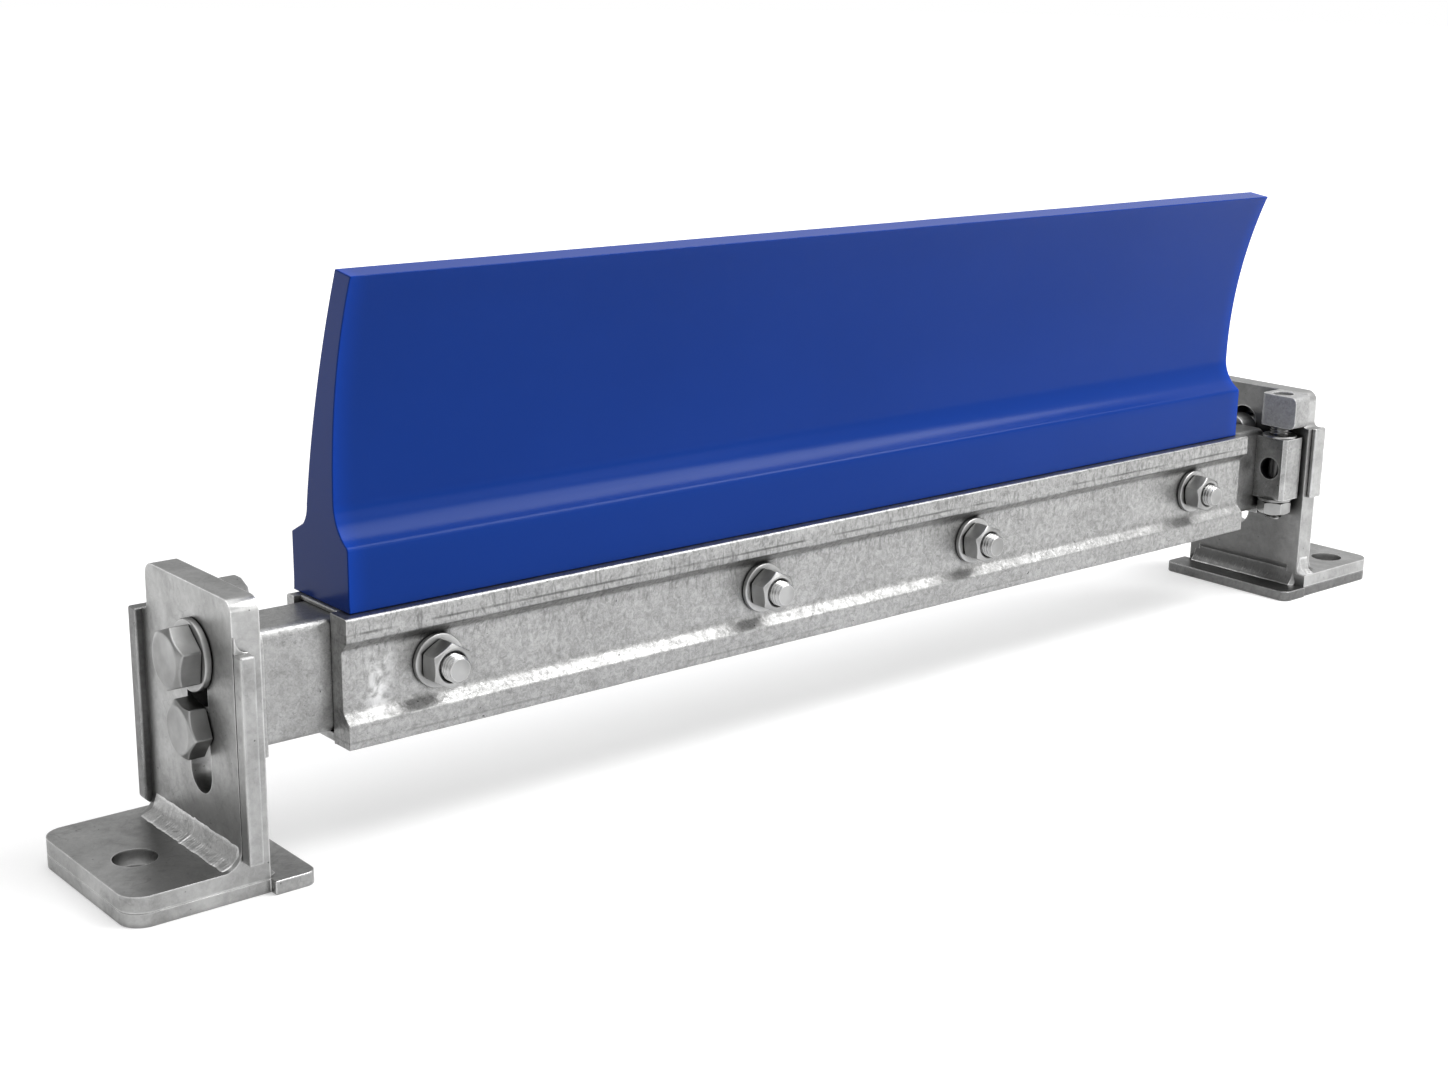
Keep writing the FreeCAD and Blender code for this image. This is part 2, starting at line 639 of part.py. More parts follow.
def make_clamp_fasteners():
    """Through bolts with a washer at each end, nuts at the front and crush sleeves in the beam."""
    thread = "(Dims.clamp_bolt_size + 2 * Dims.thread_clearance)"
    head_y = BACK_PLANE + " + Dims.clamp_washer_thick"
    nut_y = WEB_PLANE + " - Dims.clamp_washer_thick"
    tip_y = "(%s - Dims.clamp_nut_height - Dims.clamp_bolt_end)" % nut_y
    sleeve_length = "Dims.tube_depth - 2 * Dims.tube_wall"
    bolts = []
    head_washers = []
    nut_washers = []
    nuts = []
    sleeves = []
    for number, (x, twist) in enumerate(zip(BOLT_PLACES, NUT_TWISTS), start=1):
        head = hex_solid("clamp_head%d" % number, "Y", x, head_y, TUBE_MIDDLE,
                         "Dims.clamp_bolt_flats", "Dims.clamp_head_height")
        shank = cylinder("clamp_shank%d" % number, "Y", x, tip_y + " + Dims.bolt_point", TUBE_MIDDLE,
                         "Dims.clamp_bolt_size", "%s - %s - Dims.bolt_point" % (head_y, tip_y))
        tip = cone("clamp_tip%d" % number, "Y", x, tip_y, TUBE_MIDDLE,
                   "Dims.clamp_bolt_size - 2 * Dims.bolt_point", "Dims.clamp_bolt_size", "Dims.bolt_point")
        bolts.append(fuse("clamp_bolt%d" % number, head, shank, tip))
        head_washers.append(ring("head_washer%d" % number, "Y", x, BACK_PLANE, TUBE_MIDDLE,
                                 "Dims.clamp_washer_size", BOLT_HOLE, "Dims.clamp_washer_thick"))
        nut_washers.append(ring("nut_washer%d" % number, "-Y", x, WEB_PLANE, TUBE_MIDDLE,
                                "Dims.clamp_washer_size", BOLT_HOLE, "Dims.clamp_washer_thick"))
        nut = hex_solid("clamp_nut%d" % number, "-Y", x, nut_y, TUBE_MIDDLE,
                        "Dims.clamp_bolt_flats", "Dims.clamp_nut_height", twist)
        nuts.append(cut("clamp_nut_bored%d" % number, nut,
                        cylinder("clamp_nut_thread%d" % number, "-Y", x, nut_y, TUBE_MIDDLE,
                                 thread, "Dims.clamp_nut_height")))
        sleeves.append(ring("sleeve%d" % number, "Y", x, TUBE_FRONT + " + Dims.tube_wall", TUBE_MIDDLE,
                            BOLT_HOLE + " + 2 * Dims.sleeve_wall", BOLT_HOLE, sleeve_length))
    deliver("clamp_bolts", group("clamp_bolt_row", bolts))
    deliver("clamp_head_washers", group("head_washer_row", head_washers))
    deliver("clamp_nut_washers", group("nut_washer_row", nut_washers))
    deliver("clamp_nuts", group("clamp_nut_row", nuts))
    deliver("crush_sleeves", group("sleeve_row", sleeves))


def foot_end(side):
    """Where the foot ends along X, as an expression."""
    return "(%s + Dims.%s_foot_reach)" % (OUTER_FACE, side)


def foot_end_number(side):
    """The same place as a number."""
    return outer_face + size(side + "_foot_reach")


def anchor_hole(side, body, name):
    """The hole for the anchor bolt, through the foot and its base plate."""
    sketch = new_sketch(body, name, "XY_Plane")
    out = "%s + Dims.%s_hole_out" % (OUTER_FACE, side)
    circle(sketch, out, "Dims.%s_hole_back" % side, "Dims.anchor_hole")
    pocket_through(body, name + "_pocket", sketch)


def make_base_plate(side):
    """The plate that is bolted down; its inner end is a little wider than the bracket."""
    body = doc.addObject("PartDesign::Body", side + "_base_body")
    outer = new_sketch(body, side + "_base_outer", "XY_Plane")
    closed_outline(outer, [(INNER_FACE, FOOT_FRONT), (foot_end(side), FOOT_FRONT),
                           (foot_end(side), UPRIGHT_BACK), (INNER_FACE, UPRIGHT_BACK)])
    pad(body, side + "_base_outer_pad", outer, "Dims.base_thick")
    inner_end = INNER_FACE + " - Dims.base_reach"
    front = "-Dims.base_inner_width / 2"
    back = "Dims.base_inner_width / 2"
    inner = new_sketch(body, side + "_base_inner", "XY_Plane")
    closed_outline(inner, [(inner_end, front), (INNER_FACE, front), (INNER_FACE, back), (inner_end, back)])
    plate = pad(body, side + "_base_inner_pad", inner, "Dims.base_thick")
    end_x = foot_end_number(side)
    plate = round_edges(body, side + "_base_outer_corners", plate, "Dims.foot_corner",
                        lambda a, b: along_z(a, b) and near(a.x, end_x))
    reach_x = inner_face - size("base_reach")
    round_edges(body, side + "_base_inner_corners", plate, "Dims.base_corner",
                lambda a, b: along_z(a, b) and near(a.x, reach_x))
    anchor_hole(side, body, side + "_base_hole")
    deliver_end(side, "base_plate", body)


def make_bracket(side):
    """The angle bracket: a foot that points outward and an upright with the height slot."""
    body = doc.addObject("PartDesign::Body", side + "_bracket_body")
    profile = new_sketch(body, side + "_bracket_profile", "XZ_Plane", "Dims.bracket_front")
    closed_outline(profile, [
        (foot_end(side), "Dims.base_thick"), (INNER_FACE, "Dims.base_thick"),
        (INNER_FACE, "Dims.bracket_height"), (OUTER_FACE, "Dims.bracket_height"),
        (OUTER_FACE, FOOT_TOP), (foot_end(side), FOOT_TOP)])
    angle = pad(body, side + "_bracket_pad", profile, "Dims.bracket_front + Dims.bracket_back", back=True)
    angle = round_edges(body, side + "_inside_bend", angle, "Dims.inside_bend",
                        lambda a, b: near(a.x, outer_face) and near(b.x, outer_face)
                        and near(a.z, foot_top) and near(b.z, foot_top))
    round_edges(body, side + "_outside_bend", angle, "Dims.outside_bend",
                lambda a, b: near(a.x, inner_face) and near(b.x, inner_face)
                and near(a.z, size("base_thick")) and near(b.z, size("base_thick")))
    # the open corner under the bend is closed by weld at both ends
    for name, offset, back in (("front", "Dims.bracket_front", True), ("back", "-Dims.bracket_back", False)):
        corner = new_sketch(body, "%s_weld_%s" % (side, name), "XZ_Plane", offset)
        weld_x = INNER_FACE + " + Dims.outside_bend"
        weld_z = "Dims.base_thick + Dims.outside_bend"
        closed_outline(corner, [(INNER_FACE, "Dims.base_thick"), (weld_x, "Dims.base_thick"),
                                (weld_x, weld_z), (INNER_FACE, weld_z)])
        pad(body, "%s_weld_%s_pad" % (side, name), corner, "Dims.weld_fill", back=back)
    # the foot comes further forward than the upright
    ledge = new_sketch(body, side + "_ledge", "XY_Plane", "Dims.base_thick")
    closed_outline(ledge, [(INNER_FACE, FOOT_FRONT), (foot_end(side), FOOT_FRONT),
                           (foot_end(side), UPRIGHT_FRONT), (INNER_FACE, UPRIGHT_FRONT)])
    pad(body, side + "_ledge_pad", ledge, "Dims.foot_thick")
    # over the strips the upright is narrower
    step_y = UPRIGHT_FRONT + " + Dims.upright_step"
    over_top = "Dims.bracket_height + Dims.upright_corner"
    step = new_sketch(body, side + "_step", "YZ_Plane")
    closed_outline(step, [(FOOT_FRONT, STRIP_TOP), (step_y, STRIP_TOP),
                          (step_y, over_top), (FOOT_FRONT, over_top)])
    angle = pocket_through(body, side + "_step_pocket", step)
    strip_top = size("bracket_height") - size("strip_top_margin")
    step_front = upright_front + size("upright_step")
    angle = round_edges(body, side + "_step_root", angle, "Dims.upright_step_radius",
                        lambda a, b: along_x(a, b) and near(a.z, strip_top) and near(a.y, step_front))
    angle = round_edges(body, side + "_upright_corners", angle, "Dims.upright_corner",
                        lambda a, b: along_x(a, b) and near(a.z, size("bracket_height")))
    end_x = foot_end_number(side)
    round_edges(body, side + "_foot_corners", angle, "Dims.foot_corner",
                lambda a, b: along_z(a, b) and near(a.x, end_x))
    ends = new_sketch(body, side + "_slot_ends", "YZ_Plane")
    low = SLOT_LOW + " + Dims.slot_width / 2"
    high = SLOT_HIGH + " - Dims.slot_width / 2"
    for level in (low, high):
        circle(ends, "Dims.slot_offset", level, "Dims.slot_width")
    pocket_through(body, side + "_slot_round_ends", ends)
    middle = new_sketch(body, side + "_slot_middle", "YZ_Plane")
    front = "Dims.slot_offset - Dims.slot_width / 2"
    back = "Dims.slot_offset + Dims.slot_width / 2"
    closed_outline(middle, [(front, low), (back, low), (back, high), (front, high)])
    pocket_through(body, side + "_slot_straight", middle)
    anchor_hole(side, body, side + "_foot_hole")
    deliver_end(side, "angle_bracket", body)


def make_strips():
    """Two bars welded to the edges of the upright: one flush with its face, one standing proud."""
    height = "%s - %s" % (STRIP_TOP, STRIP_LOW)
    flush = box("flush_strip_bar", OUTER_FACE + " - Dims.flush_strip_thick", UPRIGHT_BACK,
                STRIP_LOW, "Dims.flush_strip_thick", "Dims.strip_reach", height)
    deliver_turned("right_back_strip", "left_front_strip", flush)
    body = doc.addObject("PartDesign::Body", "proud_strip_body")
    section = new_sketch(body, "proud_strip_section", "XY_Plane", STRIP_LOW)
    outer = OUTER_FACE + " + Dims.proud_strip_height"
    inner = outer + " - Dims.proud_strip_thick"
    front = UPRIGHT_FRONT + " - Dims.strip_reach"
    closed_outline(section, [(inner, front), (outer, front), (outer, UPRIGHT_FRONT), (inner, UPRIGHT_FRONT)])
    strip = pad(body, "proud_strip_pad", section, height)
    proud_face = outer_face + size("proud_strip_height")
    strip_low = foot_top + size("strip_foot_gap")
    round_edges(body, "proud_strip_low_edge", strip, "Dims.proud_strip_chamfer",
                lambda a, b: near(a.x, proud_face) and near(b.x, proud_face)
                and near(a.z, b.z) and near(a.z, strip_low), kind="PartDesign::Chamfer")
    deliver_turned("right_front_strip", "left_back_strip", body)


def make_lugs():
    """A lug tapped for the adjusting screw on the right upright, and a stop lug on the left one."""
    body = doc.addObject("PartDesign::Body", "lug_body")
    section = new_sketch(body, "lug_section", "YZ_Plane", INNER_FACE + " - Dims.lug_depth")
    back = LUG_FRONT + " + Dims.lug_width"
    closed_outline(section, [(LUG_FRONT, LUG_LOW), (back, LUG_LOW),
                             (back, "Dims.bracket_height"), (LUG_FRONT, "Dims.bracket_height")])
    lug = pad(body, "lug_pad", section, "Dims.lug_depth")
    front = upright_front - size("lug_front_proud")
    back_y = front + size("lug_width")
    lug_inner = inner_face - size("lug_depth")
    lug = round_edges(body, "lug_side", lug, "Dims.lug_side_chamfer",
                      lambda a, b: along_z(a, b) and near(a.x, inner_face) and near(a.y, front),
                      kind="PartDesign::Chamfer")
    lug = round_edges(body, "lug_back_edge", lug, "Dims.lug_round",
                      lambda a, b: along_z(a, b) and near(a.x, lug_inner) and near(a.y, back_y))
    round_edges(body, "lug_front_edges", lug, "Dims.lug_round",
                lambda a, b: along_x(a, b) and near(a.y, front))
    hole = new_sketch(body, "lug_hole", "XY_Plane")
    circle(hole, SCREW_X, SCREW_Y, "Dims.screw_size + 2 * Dims.thread_clearance")
    pocket_through(body, "lug_thread", hole)
    deliver("right_adjuster_lug", body)

    stop_body = doc.addObject("PartDesign::Body", "stop_body")
    stop_low = "(%s + Dims.slide_block_round + Dims.stop_lift_room)" % UPPER_BOLT
    stop_plan = new_sketch(stop_body, "stop_plan", "XY_Plane", stop_low)
    face = "-" + INNER_FACE
    tip = face + " + Dims.stop_depth"
    closed_outline(stop_plan, [
        (face, "-Dims.stop_back"), (face, "-Dims.stop_front"),
        (face + " + Dims.stop_cheek_depth", "-Dims.stop_cheek"), (tip, "-Dims.stop_nose"),
        (tip, "-Dims.stop_back")])
    pad(stop_body, "stop_pad", stop_plan, "Dims.bracket_height - " + stop_low)
    deliver("left_stop_lug", stop_body)


def make_slide_block():
    """The block on the beam's end that the slot bolts screw into, domed round the upper bolt."""
    body = doc.addObject("PartDesign::Body", "slide_block_body")
    section = new_sketch(body, "slide_section", "YZ_Plane", TUBE_END)
    dome_front = "Dims.slot_offset - Dims.slide_block_round"
    back = "Dims.slot_offset + Dims.slide_block_round"
    low = "%s - Dims.slide_block_under" % LOWER_BOLT
    shoulder = "%s - Dims.slide_shoulder_drop" % UPPER_BOLT
    closed_outline(section, [(SLIDE_FRONT, low), (back, low), (back, UPPER_BOLT), (dome_front, UPPER_BOLT),
                             (dome_front, shoulder), (SLIDE_FRONT, shoulder)])
    pad(body, "slide_pad", section, "Dims.slide_block_thick")
    dome = new_sketch(body, "slide_dome", "YZ_Plane", TUBE_END)
    circle(dome, "Dims.slot_offset", UPPER_BOLT, "2 * Dims.slide_block_round")
    pad(body, "slide_dome_pad", dome, "Dims.slide_block_thick")
    holes = new_sketch(body, "slide_holes", "YZ_Plane")
    for level, bolt in ((UPPER_BOLT, "Dims.upper_bolt_size"), (LOWER_BOLT, "Dims.lower_bolt_size")):
        circle(holes, "Dims.slot_offset", level, bolt + " + 2 * Dims.thread_clearance")
    pocket_through(body, "slide_threads", holes)
    deliver_turned("right_slide_block", "left_slide_block", body)


def make_adjuster_block():
    """The block that the adjusting screw lifts, with a window across its stem hole."""
    body = doc.addObject("PartDesign::Body", "adjuster_body")
    section = new_sketch(body, "adjuster_section", "XY_Plane", ADJUSTER_LOW)
    inner = SLIDE_OUTER + " - Dims.adjuster_thick"
    front = SLIDE_FRONT + " - Dims.adjuster_depth"
    closed_outline(section, [(inner, front), (SLIDE_OUTER, front),
                             (SLIDE_OUTER, SLIDE_FRONT), (inner, SLIDE_FRONT)])
    block = pad(body, "adjuster_pad", section, "Dims.adjuster_height")
    front_y = -size("slide_block_far") - size("adjuster_depth")
    round_edges(body, "adjuster_chamfers", block, "Dims.adjuster_chamfer",
                lambda a, b: along_z(a, b) and near(a.y, front_y), kind="PartDesign::Chamfer")
    window = new_sketch(body, "adjuster_window", "YZ_Plane")
    circle(window, SCREW_Y, ADJUSTER_LOW + " + Dims.adjuster_height / 2", "Dims.window_size")
    pocket_through(body, "adjuster_cross_hole", window)
    stem = new_sketch(body, "adjuster_stem_hole", "XY_Plane")
    circle(stem, SCREW_X, SCREW_Y, "Dims.screw_stem_size + 2 * Dims.stem_clearance")
    pocket_through(body, "adjuster_stem_bore", stem)
    deliver("adjuster_block", body)


# how far the heads of the slot bolts are screwed round, in degrees
HEAD_TWISTS = {"upper": -10.0, "lower": 22.0}


def make_slot_bolts():
    """At each end, the two bolts that clamp the slide block to the upright through the slot."""
    face = OUTER_FACE + " + Dims.slide_clearance"
    start = TUBE_END + " + Dims.bolt_hole_clearance"
    washer = ring("upper_washer", "X", face, "Dims.slot_offset", UPPER_BOLT, "Dims.upper_washer_size",
                  "Dims.upper_bolt_size + 2 * Dims.bolt_hole_clearance", "Dims.upper_washer_thick")
    deliver("upper_bolt_washers", group("upper_washer_pair", [washer, turned("left_upper_washer", washer)]))
    over_washer = "(%s + Dims.upper_washer_thick)" % face
    for which, level, head_x in (("upper", UPPER_BOLT, over_washer), ("lower", LOWER_BOLT, "(%s)" % face)):
        head = hex_solid("%s_head" % which, "X", head_x, "Dims.slot_offset", level,
                         "Dims.%s_bolt_flats" % which, "Dims.%s_head_height" % which, HEAD_TWISTS[which])
        shank = cylinder("%s_shank" % which, "X", start, "Dims.slot_offset", level,
                         "Dims.%s_bolt_size" % which, "%s - (%s)" % (head_x, start))
        bolt = fuse("%s_bolt" % which, head, shank)
        pair = [bolt, turned("left_%s_bolt" % which, bolt)]
        deliver("%s_slot_bolts" % which, group("%s_bolt_pair" % which, pair))


def make_adjusting_screw():
    """The screw in the lug, its stem through the adjuster block, and the lock nut under it."""
    washer_low = "(%s - Dims.stem_washer_thick)" % ADJUSTER_LOW
    nut_low = "(%s - Dims.lock_nut_height)" % washer_low
    shoulder = "(%s + Dims.stem_washer_thick)" % ADJUSTER_TOP
    top = "(Dims.bracket_height - Dims.screw_top_drop)"
    tip = "(%s - Dims.screw_end)" % nut_low
    thread = cylinder("screw_thread", "Z", SCREW_X, SCREW_Y, shoulder, "Dims.screw_size",
                      "%s - %s" % (top, shoulder))
    stem = cylinder("screw_stem", "Z", SCREW_X, SCREW_Y, tip + " + Dims.bolt_point", "Dims.screw_stem_size",
                    "%s - %s - Dims.bolt_point" % (shoulder, tip))
    point = cone("screw_point", "Z", SCREW_X, SCREW_Y, tip, "Dims.screw_stem_size - 2 * Dims.bolt_point",
                 "Dims.screw_stem_size", "Dims.bolt_point")
    socket = hexagon("screw_socket", "Z", SCREW_X, SCREW_Y, top + " - Dims.screw_socket_deep",
                     "Dims.screw_socket", "Dims.screw_socket_deep")
    deliver("adjusting_screw", cut("screw_bored", fuse("screw_blank", thread, stem, point), socket))
    stem_hole = "Dims.screw_stem_size + 2 * Dims.stem_clearance"
    deliver("thrust_washer", ring("thrust_ring", "Z", SCREW_X, SCREW_Y, ADJUSTER_TOP,
                                  "Dims.stem_washer_size", stem_hole, "Dims.stem_washer_thick"))
    deliver("lock_washer", ring("lock_ring", "Z", SCREW_X, SCREW_Y, washer_low,
                                "Dims.stem_washer_size", stem_hole, "Dims.stem_washer_thick"))
    nut = hex_solid("lock_hex", "-Z", SCREW_X, SCREW_Y, washer_low, "Dims.lock_nut_flats",
                    "Dims.lock_nut_height")
    bore = cylinder("lock_thread", "Z", SCREW_X, SCREW_Y, nut_low,
                    "Dims.screw_stem_size + 2 * Dims.thread_clearance", "Dims.lock_nut_height")
    deliver("lock_nut", cut("lock_nut_bored", nut, bore))


make_blade()
make_tube()
make_front_bar()
make_back_bar()
make_holder_plates()
make_clamp_fasteners()
for end in ("right", "left"):
    make_base_plate(end)
    make_bracket(end)
make_strips()
make_lugs()
make_slide_block()
make_adjuster_block()
make_slot_bolts()
make_adjusting_screw()

doc.recompute()
for thing in doc.Objects:
    if "Invalid" in thing.State or "Error" in thing.State:
        raise RuntimeError("%s is %s" % (thing.Label, thing.State))
os.makedirs("parts", exist_ok=True)
for piece in finished:
    if piece.Shape.isNull() or not piece.Shape.isValid():
        raise RuntimeError(piece.Label + " has no valid shape")
    piece.Shape.exportStep("parts/%s.step" % piece.Label)
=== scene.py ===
import math

import bmesh
import bpy
from mathutils import Matrix, Vector, noise


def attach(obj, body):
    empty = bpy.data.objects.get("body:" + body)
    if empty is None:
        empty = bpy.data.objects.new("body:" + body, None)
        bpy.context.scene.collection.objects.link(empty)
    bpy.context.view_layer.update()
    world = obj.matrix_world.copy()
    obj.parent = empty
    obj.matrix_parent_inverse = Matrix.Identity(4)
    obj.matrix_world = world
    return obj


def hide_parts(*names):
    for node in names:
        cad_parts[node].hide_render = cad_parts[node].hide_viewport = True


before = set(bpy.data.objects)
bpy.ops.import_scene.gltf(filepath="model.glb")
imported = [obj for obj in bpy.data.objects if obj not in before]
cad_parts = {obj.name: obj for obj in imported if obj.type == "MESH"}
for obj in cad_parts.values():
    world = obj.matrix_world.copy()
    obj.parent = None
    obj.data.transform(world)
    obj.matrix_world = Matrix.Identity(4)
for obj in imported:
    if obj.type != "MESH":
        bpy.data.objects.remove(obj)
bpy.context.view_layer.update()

SCENE = bpy.context.scene
STEEL_SLOT = "galvanised_steel"
ZINC_SLOT = "zinc_fasteners"
BLADE_SLOT = "urethane_blade"

# Shapes are drawn in millimetres round the blade's middle, which lies this far along X from the origin of the part
MM = 0.001
MIDDLE = -5.0


# Camera: where the photograph was taken from, in the frame of the part
CAMERA_PLACE = Vector((-0.7109, -0.7427, 0.3534))
CAMERA_YAW = math.radians(40.28)
CAMERA_PITCH = math.radians(15.02)
CAMERA_ROLL = math.radians(0.87)
CAMERA_LENS = 51.97
SENSOR = 36.0


def make_camera():
    forward = Vector((math.sin(CAMERA_YAW) * math.cos(CAMERA_PITCH),
                      math.cos(CAMERA_YAW) * math.cos(CAMERA_PITCH),
                      -math.sin(CAMERA_PITCH)))
    level = Vector((math.cos(CAMERA_YAW), -math.sin(CAMERA_YAW), 0.0))
    above = level.cross(forward)
    right = level * math.cos(CAMERA_ROLL) + above * math.sin(CAMERA_ROLL)
    up = above * math.cos(CAMERA_ROLL) - level * math.sin(CAMERA_ROLL)
    data = bpy.data.cameras.new("camera")
    data.lens = CAMERA_LENS
    data.sensor_width = SENSOR
    data.sensor_fit = "HORIZONTAL"
    data.dof.use_dof = False
    camera = bpy.data.objects.new("camera", data)
    SCENE.collection.objects.link(camera)
    turn = Matrix((right, up, -forward)).transposed().to_4x4()
    camera.matrix_world = Matrix.Translation(CAMERA_PLACE) @ turn
    SCENE.camera = camera


# Materials: their coordinates are those of the object, in metres
class Tree:
    """A node tree under construction, with short calls for the nodes that the finishes need."""

    def __init__(self, owner):
        self.nodes = owner.node_tree.nodes
        self.links = owner.node_tree.links

    def feed(self, socket, value):
        """Links a socket to an output, or sets it to a number, a vector or a colour."""
        if isinstance(value, bpy.types.NodeSocket):
            self.links.new(value, socket)
        elif socket.type == "RGBA":
            socket.default_value = (*value, 1.0)
        else:
            socket.default_value = value

    def feed_all(self, node, inputs):
        for name, value in inputs.items():
            self.feed(node.inputs[name.replace("_", " ").title().replace("Ior", "IOR")], value)

    def add(self, kind, **inputs):
        """A new node. Its inputs go by their names, written small and with underscores."""
        node = self.nodes.new(kind)
        self.feed_all(node, inputs)
        return node

    def spread(self, value, low, high, to_low=0.0, to_high=1.0):
        """The range from low to high, stretched to another range and cut off at its ends."""
        node = self.add("ShaderNodeMapRange", value=value, from_min=low, from_max=high,
                        to_min=to_low, to_max=to_high)
        return node.outputs["Result"]

    def maths(self, operation, *values, kind="ShaderNodeMath"):
        node = self.add(kind)
        node.operation = operation
        for socket, value in zip(node.inputs, values):
            self.feed(socket, value)
        return node.outputs["Value"]

    def vector_maths(self, operation, *values):
        return self.maths(operation, *values, kind="ShaderNodeVectorMath")

    def product(self, first, *others):
        for other in others:
            first = self.maths("MULTIPLY", first, other)
        return first

    def total(self, *parts):
        """The sum of values, each with its weight."""
        result = None
        for value, weight in parts:
            term = self.product(value, weight)
            result = term if result is None else self.maths("ADD", result, term)
        return result

    def distance(self, value, level):
        return self.maths("ABSOLUTE", self.maths("SUBTRACT", value, level))

    def band(self, value, level, full, none, strength=1.0):
        """A strength up to one distance from a level, which fades to 0 at another."""
        return self.spread(self.distance(value, level), full, none, strength, 0.0)


class Shader(Tree):
    """A material for a part's surface."""

    def __init__(self, name):
        self.material = bpy.data.materials.new(name)
        self.material.use_nodes = True
        super().__init__(self.material)
        self.surface = self.nodes["Principled BSDF"]
        self.place = self.add("ShaderNodeTexCoord").outputs["Object"]

    def set(self, **sockets):
        """The material, with what its surface is made of."""
        self.feed_all(self.surface, sockets)
        return self.material

    def stretched(self, x, y, z):
        """The object's own coordinates, scaled along each axis."""
        return self.add("ShaderNodeMapping", vector=self.place, scale=(x, y, z)).outputs["Vector"]

    def along(self, axis):
        """One of the object's own coordinates, in metres."""
        return self.add("ShaderNodeSeparateXYZ", vector=self.place).outputs[axis]

    def noise(self, scale, detail=3.0, rough=0.5, distortion=0.0, where=None):
        node = self.add("ShaderNodeTexNoise", vector=where or self.place, scale=scale, detail=detail,
                        roughness=rough, distortion=distortion)
        return node.outputs["Fac"]

    def mottle(self, scale):
        return self.spread(self.noise(scale, 4.0, 0.68, 1.0), 0.35, 0.65)

    def fine_grain(self):
        return self.spread(self.noise(1900.0, 2.0, 0.6), 0.3, 0.7)

    def specks(self):
        """1 in a few small dots, and 0 elsewhere."""
        return self.spread(self.noise(520.0, 1.0, 0.5), 0.775, 0.80)

    def spangle(self, scale):
        """Zinc crystals: cells, each with a tone of its own."""
        cells = self.add("ShaderNodeTexVoronoi", vector=self.place, scale=scale)
        return self.add("ShaderNodeSeparateColor", color=cells.outputs["Color"]).outputs["Red"]

    def veins(self, scale, width):
        """Thin broken lines, as in frosted or cracked zinc."""
        line = self.band(self.noise(scale, 2.0, 0.5, 1.6), 0.5, 0.0, width)
        return self.product(line, self.spread(self.noise(scale * 0.4, 2.0, 0.5), 0.46, 0.60))

    def crevice(self, reach):
        """1 on open surfaces and less in corners and gaps."""
        node = self.add("ShaderNodeAmbientOcclusion", distance=reach)
        node.samples = 6
        return node.outputs["AO"]

    def edge(self, reach):
        """1 where a surface turns over an edge, and 0 where it is flat."""
        turned = self.add("ShaderNodeBevel", radius=reach)
        turned.samples = 4
        flat = self.add("ShaderNodeNewGeometry")
        match = self.vector_maths("DOT_PRODUCT", turned.outputs["Normal"], flat.outputs["True Normal"])
        return self.spread(match, 0.90, 0.99, 1.0, 0.0)

    def mixed(self, factor, first, second):
        """A colour between two colours."""
        node = self.add("ShaderNodeMix")
        node.data_type = "RGBA"
        # several inputs share a name: these are the plain factor and the two colours
        for index, value in ((0, factor), (6, first), (7, second)):
            self.feed(node.inputs[index], value)
        return node.outputs[2]

    def bump(self, height, strength, depth, under=None):
        """A normal for an uneven skin, over another one if given."""
        node = self.add("ShaderNodeBump", height=height, strength=strength, distance=depth)
        if under is not None:
            self.feed(node.inputs["Normal"], under)
        return node.outputs["Normal"]


# The colour of the shade painted into corners and gaps, and the level of the root over the front bar's lower lip in
# millimetres
CORNER_SHADE_COLOUR = (0.03, 0.03, 0.029)
BAR_ROOT = 59.0


def darker(colour, share):
    return tuple(share * part for part in colour)


